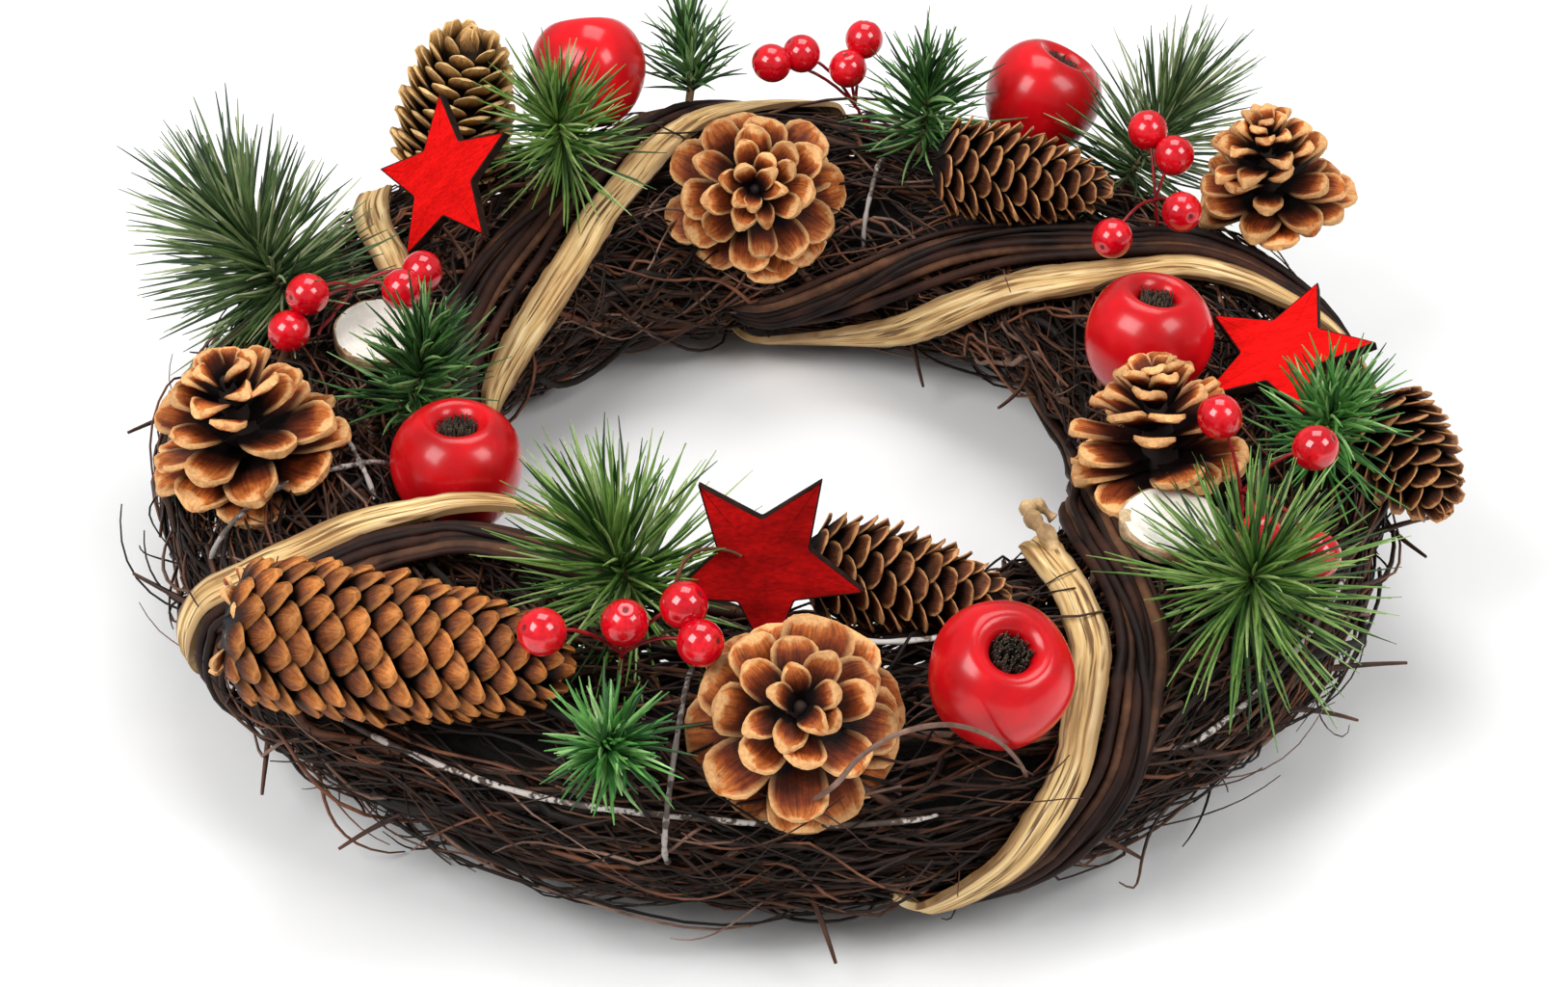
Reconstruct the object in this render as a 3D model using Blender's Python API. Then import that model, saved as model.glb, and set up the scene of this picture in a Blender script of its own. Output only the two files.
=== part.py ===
"""A christmas wreath: a ring of tangled brushwood bound with vines and peeled cane, dressed with
cones, apples, stars, berries, slices of wood and sprays of needles.

Metres, +Z up. The wreath lies flat with the axis of its hole along Z. The origin is the middle of its
footprint, on the surface it rests on. A bearing is in degrees round Z from +X, and the front is -Y.
Round the section of the ring, 0 is the outer side, 90 the top, 180 the inner side and -90 the underside.
"""
import math
import random

import bmesh
import bpy
from mathutils import Matrix, Vector
from mathutils.bvhtree import BVHTree

MM = 0.001
GAP = 0.3 * MM

# The ring of brushwood: an upright oval section carried round a circle.
RING_RADIUS = 127 * MM
CORE_HALF_WIDTH = 40 * MM
CORE_HALF_HEIGHT = 27 * MM
BUNDLES = 8
BUNDLE_STEPS = 4
SECTION_SIDES = 12
BUNDLE_MARGIN = 1.4
TWIGS_IN_BUNDLE = 7
STRAYS_IN_BUNDLE = 2
TWIG_RADIUS = 1.05 * MM
TWIG_ROOT = 1.6 * MM
TWIG_RISE = (1.5 * MM, 4.0 * MM)
TWIG_STEPS = 4
STRAY_ROOT = 2.5 * MM
STRAY_REACH = (7 * MM, 14 * MM)
STRAY_RADII = (1.05 * MM, 0.95 * MM, 0.8 * MM, 0.55 * MM)
LOOP_RADIUS = 1.05 * MM
LOOP_STEPS = 7
MOST_TRIES = 400
TWIG_AROUND = (-50, 230)
TWIG_SWEEP = (15, 38)
TWIG_CLIMB = 60

# The bindings that lie on the core.
VINES_IN_WRAP = 3
WRAP_STEPS = 18
FINE_STEPS = 300
VINE_WIDTH = 4.5 * MM
VINE_THICKNESS = 4.0 * MM
BINDING_LIFT = 2.0 * MM
CANE_WIDTH = 9.5 * MM
CANE_THICKNESS = 2.4 * MM
CANE_TO_VINES = 12.9 * MM
HOOP_RADIUS = 1.0 * MM
HOOP_LIFT = 1.9 * MM
REST_BAND = 1.65 * MM
RING_HEIGHT = VINE_THICKNESS + BINDING_LIFT - 0.4 * MM + CORE_HALF_HEIGHT

# The dressing.
OPEN_CONE_RADIUS = 26.5 * MM
SCALE_THICKNESS = 2.3 * MM
# Tiers of an open cone, as (scales, height in mm, share of the radius, rise in degrees, width in mm).
CONE_TIERS = (
    (6, 5.0, 1.0, 4, 16.0),
    (6, 12.0, 0.88, 25, 13.5),
    (4, 18.0, 0.66, 46, 11.5),
    (2, 23.5, 0.4, 64, 9.0),
)
APPLE_RADIUS = 17.7 * MM
# The apple's outline, as shares of its radius out from the axis and up it.
APPLE_PROFILE = (
    (0, -0.74), (0.3, -0.88), (0.72, -0.68), (0.97, -0.2), (0.98, 0.22), (0.78, 0.62),
    (0.5, 0.84), (0.36, 0.86), (0.29, 0.76), (0.28, 0.56), (0, 0.56),
)
APPLE_SIDES = 10
CALYX_POINTS = 7
STAR_THICKNESS = 3.6 * MM
STAR_WAIST = 0.46
BERRY_RADIUS = 5.8 * MM
WIRE_RADIUS = 0.55 * MM
SLICE_RADIUS = 12.4 * MM
SLICE_THICKNESS = 4.5 * MM
GOLDEN_TURN = math.pi * (3 - math.sqrt(5))
STEM_RADIUS = 1.3 * MM
NEEDLE_RADIUS = 0.62 * MM
SHORTEST_NEEDLE = 7 * MM
NEEDLE_TRIES = 9

# How far a piece may slide from its place, in mm before and after it, and how closely its way is looked at.
SLIDE = (14, 14)
LOOK_STEP = 0.9 * MM
LOOK_REACH = 4 * MM
HALVINGS = 5


def clear_scene():
    for obj in list(bpy.data.objects):
        bpy.data.objects.remove(obj, do_unlink=True)


def material(name, colour, roughness, metallic=0.0):
    made = bpy.data.materials.new(name)
    made.use_nodes = True
    shader = made.node_tree.nodes["Principled BSDF"]
    shader.inputs["Base Color"].default_value = (*colour, 1.0)
    shader.inputs["Roughness"].default_value = roughness
    shader.inputs["Metallic"].default_value = metallic
    return made


def keep(name, bm, finish, smooth=False):
    """Turn a bmesh into a named object of one material."""
    bmesh.ops.recalc_face_normals(bm, faces=bm.faces)
    mesh = bpy.data.meshes.new(name)
    bm.to_mesh(mesh)
    bm.free()
    if finish:
        mesh.materials.append(finish)
    if smooth:
        mesh.shade_smooth()
    obj = bpy.data.objects.new(name, mesh)
    bpy.context.scene.collection.objects.link(obj)
    return obj


def fuse(name, solids, finish, smooth=False):
    """Join closed solids that run into each other into one body by a union on a collection."""
    base = keep(name, solids[0], finish, smooth)
    held = bpy.data.collections.new(name + "_pieces")
    bpy.context.scene.collection.children.link(held)
    for solid in solids[1:]:
        piece = keep(name + "_piece", solid, finish)
        bpy.context.scene.collection.objects.unlink(piece)
        held.objects.link(piece)
    join = base.modifiers.new("union", "BOOLEAN")
    join.operation = "UNION"
    join.operand_type = "COLLECTION"
    join.collection = held
    join.solver = "EXACT"
    graph = bpy.context.evaluated_depsgraph_get()
    joined = bpy.data.meshes.new_from_object(base.evaluated_get(graph))
    joined.name = name
    base.modifiers.clear()
    base.data = joined
    for piece in list(held.objects):
        bpy.data.objects.remove(piece, do_unlink=True)
    bpy.data.collections.remove(held)
    return base


def loft(sections):
    """Close a skin over a row of sections with equal corner counts, with a face at each end."""
    bm = bmesh.new()
    rings = [[bm.verts.new(point) for point in section] for section in sections]
    for ring, following in zip(rings, rings[1:]):
        for k in range(len(ring)):
            j = (k + 1) % len(ring)
            bm.faces.new((ring[k], ring[j], following[j], following[k]))
    bm.faces.new(rings[0])
    bm.faces.new(rings[-1])
    return bm


def tube(points, radii, sides=3, turn=0.0):
    """A rod along points, with its section carried along without twisting."""
    tangents = []
    for k in range(len(points)):
        before, after = points[max(k - 1, 0)], points[min(k + 1, len(points) - 1)]
        tangents.append((after - before).normalized())
    across = tangents[0].orthogonal().normalized()
    sections = []
    for point, tangent, radius in zip(points, tangents, radii):
        across = (across - tangent * across.dot(tangent)).normalized()
        up = tangent.cross(across)
        angles = [turn + 2 * math.pi * k / sides for k in range(sides)]
        sections.append([point + radius * (math.cos(a) * across + math.sin(a) * up) for a in angles])
    return loft(sections)


def spun(profile, segments):
    """A closed body turned round Z from points (radius, height), the first and last on the axis."""
    bm = bmesh.new()
    corners = [bm.verts.new((radius, 0, height)) for radius, height in profile]
    edges = [bm.edges.new(pair) for pair in zip(corners, corners[1:])]
    bmesh.ops.spin(bm, geom=corners + edges, axis=(0, 0, 1), cent=(0, 0, 0), steps=segments,
                   angle=2 * math.pi, use_merge=True)
    bmesh.ops.remove_doubles(bm, verts=bm.verts, dist=0.01 * MM)
    return bm


def between(values, k):
    """Read a row of tuples at a fractional index by a smooth curve through them."""
    k = min(max(k, 0), len(values) - 1)
    i = min(int(k), len(values) - 2)
    t = k - i
    before, start = values[max(i - 1, 0)], values[i]
    end, after = values[i + 1], values[min(i + 2, len(values) - 1)]
    out = []
    for a, b, c, d in zip(before, start, end, after):
        out.append(b + 0.5 * t * (c - a + t * (2 * a - 5 * b + 4 * c - d + t * (3 * (b - c) + d - a))))
    return out


def even_steps(keys, first, last, steps):
    """Indices along a keyed line whose chords dip into the surface by much the same."""
    fine = [first + (last - first) * k / FINE_STEPS for k in range(FINE_STEPS + 1)]
    gone = [0.0]
    for before, after in zip(fine, fine[1:]):
        start, end = between(keys, before), between(keys, after)
        turn = ring_normal(*start[:2]).angle(ring_normal(*end[:2]))
        travel = (ring_point(*end[:2]) - ring_point(*start[:2])).length
        gone.append(gone[-1] + math.sqrt(turn * travel))
    picked = []
    for step in range(steps + 1):
        wanted = gone[-1] * step / steps
        picked.append(fine[min(range(len(fine)), key=lambda k: abs(gone[k] - wanted))])
    return picked


def bearing_unit(bearing):
    return Vector((math.cos(math.radians(bearing)), math.sin(math.radians(bearing)), 0))


def ring_point(bearing, around, lift=0.0):
    """The point of the core's surface at this bearing and place round its section, raised by lift."""
    a = math.radians(around)
    out = RING_RADIUS + CORE_HALF_WIDTH * math.cos(a)
    surface = bearing_unit(bearing) * out + Vector((0, 0, RING_HEIGHT + CORE_HALF_HEIGHT * math.sin(a)))
    return surface + ring_normal(bearing, around) * lift


def ring_normal(bearing, around):
    a = math.radians(around)
    normal = bearing_unit(bearing) * math.cos(a) / CORE_HALF_WIDTH
    normal.z = math.sin(a) / CORE_HALF_HEIGHT
    return normal.normalized()


def shifted(keys, k, sideways):
    """The bearing and place round the section of a line beside the keyed one, on the core's surface."""
    bearing, around = between(keys, k)[:2]
    after = between(keys, k + 0.05)
    before = between(keys, k - 0.05)
    a = math.radians(around)
    out = RING_RADIUS + CORE_HALF_WIDTH * math.cos(a)
    girth = math.hypot(CORE_HALF_WIDTH * math.sin(a), CORE_HALF_HEIGHT * math.cos(a))
    along = math.radians(after[0] - before[0]) * out
    over = math.radians(after[1] - before[1]) * girth
    length = math.hypot(along, over)
    bearing += math.degrees(-sideways * over / length / out)
    around += math.degrees(sideways * along / length / girth)
    return bearing, around


def band(points, normals, outline):
    """A flat band along points: outline gives its corners as (across, out from the ring)."""
    sections = []
    for k, (point, normal) in enumerate(zip(points, normals)):
        ahead = points[min(k + 1, len(points) - 1)] - points[max(k - 1, 0)]
        across = ahead.cross(normal).normalized()
        out = across.cross(ahead).normalized()
        sections.append([point + across * x + out * y for x, y in outline(k / (len(points) - 1))])
    bm = loft(sections)
    bmesh.ops.triangulate(bm, faces=bm.faces)
    return bm


class Placed:
    """The solids set so far, as one search tree that tells how near anything comes to them."""

    def __init__(self):
        self.corners = []
        self.faces = []
        self.tree = None

    def add(self, *objects):
        for obj in objects:
            first = len(self.corners)
            self.corners += [obj.matrix_world @ v.co for v in obj.data.vertices]
            self.faces += [[first + i for i in p.vertices] for p in obj.data.polygons]
        self.tree = BVHTree.FromPolygons(self.corners, self.faces)

    def room(self, point, reach):
        """The distance from a point to the nearest solid, or reach where that is less."""
        near = self.tree.find_nearest(point, reach)
        return reach if near[0] is None else near[3]

    def clear_length(self, start, heading, length, radius):
        """How far a straight needle runs before it comes too near a solid."""
        gone = 0.0
        while gone < length:
            if self.room(start + heading * gone, LOOK_REACH) < radius + GAP:
                return gone - 2 * LOOK_STEP
            gone += LOOK_STEP
        return length

    def clear_path(self, points, radius):
        """Whether a rod along points stays clear of every solid."""
        for start, end in zip(points, points[1:]):
            pieces = max(2, int((end - start).length / LOOK_STEP))
            for k in range(pieces + 1):
                if self.room(start.lerp(end, k / pieces), LOOK_REACH) < radius + GAP:
                    return False
        return True

    def settle(self, obj, heading, before=SLIDE[0]):
        """Slide a piece along a heading until it all but touches what is set, then set it there."""
        after = SLIDE[1]
        corners = [obj.matrix_world @ v.co for v in obj.data.vertices]
        faces = [list(p.vertices) for p in obj.data.polygons]
        middle = sum(corners, Vector()) / len(corners)
        reach = max((c - middle).length for c in corners) + (before + after) * MM
        nearby = [c for c in self.corners if (c - middle).length < reach]

        def crowded(slide):
            moved = [c + heading * slide for c in corners]
            if any(self.tree.find_nearest(c, GAP)[0] is not None for c in moved):
                return True
            own = BVHTree.FromPolygons(moved, faces)
            if own.overlap(self.tree):
                return True
            return any(own.find_nearest(c, GAP)[0] is not None for c in nearby)

        slide = -before * MM
        while slide < after * MM and not crowded(slide):
            slide += MM
        low, high = slide - MM, slide
        for _ in range(HALVINGS):
            half = (low + high) / 2
            if crowded(half):
                high = half
            else:
                low = half
        obj.matrix_world = Matrix.Translation(heading * low) @ obj.matrix_world
        self.add(obj)
        return obj


def pointing(where, axis, turn=0.0):
    """The placing that stands a piece at a point with its Z along axis and its Y to the back."""
    axis = Vector(axis).normalized()
    back = (Vector((0, 1, 0)) - axis * axis.y).normalized()
    stand = Matrix((back.cross(axis), back, axis)).transposed().to_4x4()
    return Matrix.Translation(where) @ stand @ Matrix.Rotation(math.radians(turn), 4, "Z")


def hollowed(obj):
    """Press the nests of the fruits that lie deep in the brushwood into a bundle."""
    for middle, radius in NESTS:
        where = Vector(middle) * MM
        if min((v.co - where).length for v in obj.data.vertices) > 3 * radius * MM:
            continue
        bm = bmesh.new()
        bmesh.ops.create_icosphere(bm, subdivisions=NEST_FINENESS, radius=radius * MM)
        bmesh.ops.translate(bm, vec=where, verts=bm.verts)
        nest = keep(obj.name + "_nest", bm, None)
        cut = obj.modifiers.new("nest", "BOOLEAN")
        cut.operation = "DIFFERENCE"
        cut.object = nest
        cut.solver = "EXACT"
        graph = bpy.context.evaluated_depsgraph_get()
        pressed = bpy.data.meshes.new_from_object(obj.evaluated_get(graph))
        pressed.name = obj.name
        obj.modifiers.clear()
        obj.data = pressed
        bpy.data.objects.remove(nest, do_unlink=True)
    return obj


def bundle_core(start, end):
    """The dense middle of one bundle, between two bearings, a little apart from its neighbours."""
    trim = math.degrees(GAP / 2 / (RING_RADIUS - CORE_HALF_WIDTH))
    start, end = start + trim, end - trim
    angles = [360 * k / SECTION_SIDES + 180 / SECTION_SIDES for k in range(SECTION_SIDES)]
    bearings = [start + (end - start) * k / BUNDLE_STEPS for k in range(BUNDLE_STEPS + 1)]
    return loft([[ring_point(b, a) for a in angles] for b in bearings])


def stray_keys(bearing, around, to_bearing, to_around, reach):
    """The line of a twig that leaves the core and stands off it more and more."""
    keys = []
    for k in range(4):
        t = k / 3
        lift = -STRAY_ROOT + (reach + STRAY_ROOT) * t ** 1.4
        keys.append((bearing + (to_bearing - bearing) * t, around + (to_around - around) * t, lift))
    return keys


def twig_bundle(number, draw, dressing):
    """One bundle: its core, twigs that wander over it and tips and loops that stand off it."""
    start = 360 / BUNDLES * number
    end = start + 360 / BUNDLES
    solids = [bundle_core(start, end)]

    def grow(keys, radii, sunk=0):
        """Add a twig along the keys where it stays in the bundle's stretch and clear of the dressing."""
        points = [ring_point(*key) for key in keys]
        inside = all(start + BUNDLE_MARGIN < key[0] < end - BUNDLE_MARGIN for key in keys)
        high = all(point.z > radii[0] + GAP for point in points)
        if inside and high and dressing.clear_path(points[sunk:len(points) - sunk], radii[0]):
            solids.append(tube(points, radii))
            return True
        return False

    for keys in LOOPS:
        if start <= keys[0][0] < end:
            raised = [(bearing, around, lift * MM) for bearing, around, lift in keys]
            smooth = [between(raised, k * (len(raised) - 1) / LOOP_STEPS) for k in range(LOOP_STEPS + 1)]
            grow(smooth, [LOOP_RADIUS] * len(smooth), 1)
    for bearing, around, to_bearing, to_around, reach in STRAYS:
        if start <= bearing < end:
            grow(stray_keys(bearing, around, to_bearing, to_around, reach * MM), STRAY_RADII, 1)
    twigs, strays, tries = 0, 0, 0
    while twigs < TWIGS_IN_BUNDLE and tries < MOST_TRIES:
        tries += 1
        bearing, around = draw.uniform(start, end), draw.uniform(*TWIG_AROUND)
        sweep, climb = draw.choice((-1, 1)) * draw.uniform(*TWIG_SWEEP), draw.uniform(-TWIG_CLIMB, TWIG_CLIMB)
        rise = draw.uniform(*TWIG_RISE)
        keys = []
        for k in range(TWIG_STEPS + 1):
            t = k / TWIG_STEPS
            lift = -TWIG_ROOT + (rise + TWIG_ROOT) * math.sin(math.pi * t) ** 0.6
            keys.append((bearing + sweep * t, around + climb * t, lift))
        twigs += grow(keys, [TWIG_RADIUS] * (TWIG_STEPS + 1))
    while strays < STRAYS_IN_BUNDLE and tries < 2 * MOST_TRIES:
        tries += 1
        outer = draw.random() < 0.6
        bearing = draw.uniform(start, end)
        around = draw.uniform(-45, 35) if outer else draw.uniform(150, 215)
        to_bearing = bearing + draw.choice((-1, 1)) * draw.uniform(5, 14)
        reach = draw.uniform(*STRAY_REACH) * (1.0 if outer else 0.6)
        to_around = around + draw.uniform(-12, 22)
        strays += grow(stray_keys(bearing, around, to_bearing, to_around, reach), STRAY_RADII)
    return hollowed(fuse(f"twig_bundle_{number + 1}", solids, TWIG))


def press_flat(bm):
    """Flatten the lowest stretch on to the surface that the wreath rests on."""
    for vert in bm.verts:
        if vert.co.z < REST_BAND:
            vert.co.z = 0.0


def vine_wrap(number, keys):
    """Vines laid side by side in one turn over and under the ring."""
    indices = even_steps(keys, 0, len(keys) - 1, WRAP_STEPS)
    places = [shifted(keys, k, CANE_TO_VINES) for k in indices]
    lifts = [BINDING_LIFT + 0.6 * between(keys, k)[2] * MM for k in indices]
    points = [ring_point(*place, lift) for place, lift in zip(places, lifts)]
    normals = [ring_normal(*place) for place in places]
    half = VINES_IN_WRAP * VINE_WIDTH / 2

    def outline(t):
        corners = [(half, 0.0), (-half, 0.0)]
        for vine in range(VINES_IN_WRAP):
            left = vine * VINE_WIDTH - half
            corners.append((left + 0.27 * VINE_WIDTH, VINE_THICKNESS))
            corners.append((left + 0.73 * VINE_WIDTH, VINE_THICKNESS))
            if vine < VINES_IN_WRAP - 1:
                corners.append((left + VINE_WIDTH, 0.5 * VINE_THICKNESS))
        return corners

    bm = band(points, normals, outline)
    press_flat(bm)
    return keep(f"vine_wrap_{number}", bm, VINE)


def cane_strip(number, keys, first, last, steps=16):
    """A peeled strip of cane along part of a binding line, dished a little along its middle."""
    places = [between(keys, k) for k in even_steps(keys, first, last, steps)]
    points = [ring_point(b, a, BINDING_LIFT + lift * MM) for b, a, lift in places]
    normals = [ring_normal(b, a) for b, a, lift in places]
    half = CANE_WIDTH / 2

    def outline(t):
        width = half * min(1.0, 0.55 + 5 * t, 0.55 + 5 * (1 - t))
        return [(width, 0.5 * MM), (-width, 0.5 * MM), (-0.8 * width, CANE_THICKNESS),
                (0, CANE_THICKNESS - 0.7 * MM), (0.8 * width, CANE_THICKNESS)]

    bm = band(points, normals, outline)
    press_flat(bm)
    return keep(f"cane_strip_{number}", bm, CANE)


def hoop(name, keys, steps):
    """A thin rod that follows the ring over its twigs."""
    last = len(keys) - 1
    points = [ring_point(*between(keys, last * k / steps), HOOP_LIFT) for k in range(steps + 1)]
    return keep(name, tube(points, [HOOP_RADIUS] * len(points), 4), HOOP_BARK)


def cone_scale(foot, heading, upward, length, width, thickness):
    """One woody scale: a plate that widens from a narrow sunk root to a thick rounded tip."""
    side = heading.cross(upward).normalized()
    out = side.cross(heading).normalized()
    outline = ((0.0, -0.1), (0.78, -0.5), (1.0, 0.0), (0.78, 0.5), (0.0, 0.1))
    faces = []
    for level in (-0.5, 0.5):
        ring = []
        for along, across in outline:
            rise = out * thickness * (level * (0.55 + 0.45 * along) + 0.9 * along ** 2)
            ring.append(foot + heading * along * length + side * across * width + rise)
        faces.append(ring)
    return loft(faces)


def open_cone(number, size, draw):
    """An opened cone standing on its stem end, with tiers of scales round a spindle."""
    spindle = [(0, 0), (5.0, 0.5), (4.8, 12), (0, 31)]
    solids = [spun([(size * r * MM, size * z * MM) for r, z in spindle], 5)]
    for tier, (count, height, reach, rise, width) in enumerate(CONE_TIERS):
        for k in range(count):
            turn = 2 * math.pi * (k + 0.5 * (tier % 2)) / count + draw.uniform(-0.09, 0.09) + 0.3 * tier
            lift = math.radians(rise + draw.uniform(-4, 4))
            flat = Vector((math.cos(turn), math.sin(turn), 0))
            heading = flat * math.cos(lift) + Vector((0, 0, math.sin(lift)))
            upward = Vector((0, 0, math.cos(lift))) - flat * math.sin(lift)
            foot = Vector((0, 0, size * height * MM)) + flat * 1.6 * MM
            length = size * OPEN_CONE_RADIUS * reach * draw.uniform(0.95, 1.03)
            solids.append(cone_scale(foot, heading, upward, length, size * width * MM, SCALE_THICKNESS))
    return fuse(f"open_cone_{number}", solids, CONE_SCALE)


def long_cone(number, length, radius, rows, across=7):
    """A long cone standing on its stem end, its scales raised from the body in staggered rows."""
    sections = [[(0.45, 0.0)] * (2 * across)]
    for row in range(rows + 1):
        t = row / rows
        girth = (math.sin(math.pi * min(1.0, 0.16 + 0.84 * t) ** 0.8)) ** 0.55 if t < 1 else 0.2
        section = []
        for k in range(2 * across):
            raised = (k + row) % 2 == 0
            swell = 1.08 if raised else 0.84
            forward = 0.45 if raised else -0.25
            section.append((girth * swell, min(1.0, (row + 0.7 + forward) / (rows + 1.4))))
        sections.append(section)
    rings = []
    for section in sections:
        ring = []
        for k, (girth, height) in enumerate(section):
            turn = math.pi * k / across
            out = girth * radius
            ring.append(Vector((out * math.cos(turn), out * math.sin(turn), height * length)))
        rings.append(ring)
    return keep(f"long_cone_{number}", loft(rings), LONG_SCALE)


def star(number, radius):
    """A five-pointed star of board, its face along +Z and its first point along +Y."""
    bm = bmesh.new()
    rim = []
    for k in range(10):
        reach = radius if k % 2 == 0 else STAR_WAIST * radius
        angle = math.radians(90 + 36 * k)
        rim.append(bm.verts.new((reach * math.cos(angle), reach * math.sin(angle), -STAR_THICKNESS / 2)))
    face = bm.faces.new(rim)
    grown = bmesh.ops.extrude_face_region(bm, geom=[face])
    top = [item for item in grown["geom"] if isinstance(item, bmesh.types.BMVert)]
    bmesh.ops.translate(bm, vec=(0, 0, STAR_THICKNESS), verts=top)
    return keep(f"star_{number}", bm, STAR_RED)


def apple(number):
    """A round apple with a raised lip round the pit of its calyx."""
    profile = [(out * APPLE_RADIUS, up * APPLE_RADIUS) for out, up in APPLE_PROFILE]
    return keep(f"apple_{number}", spun(profile, APPLE_SIDES), APPLE_RED, smooth=True)


def apple_calyx(number):
    """The dark tuft in the apple's pit: a low crown of bristles."""
    pit_radius, pit_floor = APPLE_PROFILE[-2]
    foot, spread = pit_floor * APPLE_RADIUS + GAP, pit_radius * APPLE_RADIUS - 0.5 * MM
    low, high = [], []
    for k in range(2 * CALYX_POINTS):
        angle = math.pi * k / CALYX_POINTS
        out = Vector((math.cos(angle), math.sin(angle), 0)) * spread
        reach, rise = (1.0, 2.6 * MM) if k % 2 == 0 else (0.55, 1.2 * MM)
        low.append(0.8 * out + Vector((0, 0, foot)))
        high.append(reach * out + Vector((0, 0, foot + rise)))
    return keep(f"apple_calyx_{number}", loft([low, high]), CALYX)


def wood_slice(number):
    """A short slice across a branch."""
    bm = bmesh.new()
    bmesh.ops.create_cone(bm, cap_ends=True, segments=16, radius1=SLICE_RADIUS * 0.97, radius2=SLICE_RADIUS,
                          depth=SLICE_THICKNESS)
    return keep(f"wood_slice_{number}", bm, SLICE_WOOD)


def ball(middle, radius):
    bm = bmesh.new()
    bmesh.ops.create_uvsphere(bm, u_segments=6, v_segments=4, radius=radius)
    bmesh.ops.translate(bm, vec=middle, verts=bm.verts)
    return bm


def berry_spray(number, placed, root, fork, berries):
    """Berries on wires that part from one stem; the stem's foot all but touches the ring."""
    root, fork = Vector(root) * MM, Vector(fork) * MM
    drop = (root - fork).normalized()
    found = placed.tree.ray_cast(fork, drop)
    if found[0] is not None:
        root = found[0] - drop * (GAP + WIRE_RADIUS)
    stem_radii = [WIRE_RADIUS * share for share in (0.6, 1.3, 1.2)]
    solids = [tube([root, root.lerp(fork, 0.5), fork], stem_radii, 3)]
    for place in berries:
        middle = Vector(place) * MM
        bow = Vector((0, 0, 0.16 * (middle - fork).length))
        points = [fork - (fork - root).normalized() * 1.0 * MM, fork.lerp(middle, 0.45) + bow, middle]
        solids.append(tube(points, [WIRE_RADIUS] * 3, 3))
        solids.append(ball(middle, BERRY_RADIUS))
    return fuse(f"berry_spray_{number}", solids, BERRY_RED)


def stem_foot(placed, draw, above, aim, length):
    """Stand a stem on the twigs below a point, turned and moved a little until it is clear."""
    for _ in range(MOST_TRIES):
        found = placed.tree.ray_cast(above + aim * 12 * MM, -aim)
        if found[0] is not None:
            foot = found[0] + aim * 0.7 * MM
            if placed.clear_path([foot + aim * 1.5 * MM, foot + aim * length], STEM_RADIUS):
                break
        stir = Vector([draw.uniform(-1, 1) for _ in range(3)])
        above = above + 0.5 * MM * stir
        aim = (aim + 0.04 * stir).normalized()
    return foot, aim


def needle_spray(number, placed, draw, root, aim, stem, needle, count, leans):
    """Needles set in a spiral all round a slim stem, shortened where a neighbour is in their way."""
    root, aim = stem_foot(placed, draw, Vector(root) * MM, Vector(aim).normalized(), stem * MM)
    side = aim.orthogonal().normalized()
    other = aim.cross(side)
    tip = root + aim * stem * MM
    solids = [tube([root, root.lerp(tip, 0.25), tip], [0.4 * STEM_RADIUS, STEM_RADIUS, 0.6 * STEM_RADIUS], 4)]
    for k in range(count):
        t = (k + 0.5) / count
        foot = root.lerp(tip, 0.18 + 0.8 * t)
        best, heading = 0.0, aim
        wanted = needle * MM * draw.uniform(0.82, 1.0)
        for attempt in range(NEEDLE_TRIES):
            turn = GOLDEN_TURN * k + 0.35 * attempt * (-1) ** attempt
            lean = math.radians(leans[0] + (leans[1] - leans[0]) * t + draw.uniform(-9, 9))
            spread = side * math.cos(turn) + other * math.sin(turn)
            trial = aim * math.cos(lean) + spread * math.sin(lean)
            length = placed.clear_length(foot, trial, wanted, NEEDLE_RADIUS)
            if length > best:
                best, heading = length, trial
            if best >= wanted:
                break
        if best < SHORTEST_NEEDLE:
            continue
        ends = [foot, foot + heading * best]
        solids.append(tube(ends, [NEEDLE_RADIUS, NEEDLE_RADIUS * 0.45], 3, turn=draw.uniform(0, 2)))
    return fuse(f"needle_spray_{number}", solids, NEEDLE)


TWIG = material("dark_twig", (0.075, 0.042, 0.028), 0.8)
VINE = material("vine_bark", (0.085, 0.058, 0.045), 0.55)
CANE = material("peeled_cane", (0.62, 0.42, 0.19), 0.6)
HOOP_BARK = material("hoop_bark", (0.24, 0.19, 0.15), 0.7)
CONE_SCALE = material("open_cone_scale", (0.42, 0.2, 0.08), 0.7)
LONG_SCALE = material("long_cone_scale", (0.3, 0.15, 0.065), 0.7)
STAR_RED = material("star_red", (0.72, 0.01, 0.01), 0.85)
APPLE_RED = material("apple_red", (0.6, 0.01, 0.015), 0.2)
CALYX = material("calyx_black", (0.02, 0.017, 0.015), 0.9)
BERRY_RED = material("berry_red", (0.62, 0.0, 0.01), 0.12)
NEEDLE = material("needle_green", (0.05, 0.17, 0.05), 0.5)
SLICE_WOOD = material("slice_wood", (0.88, 0.84, 0.76), 0.6)

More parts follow.
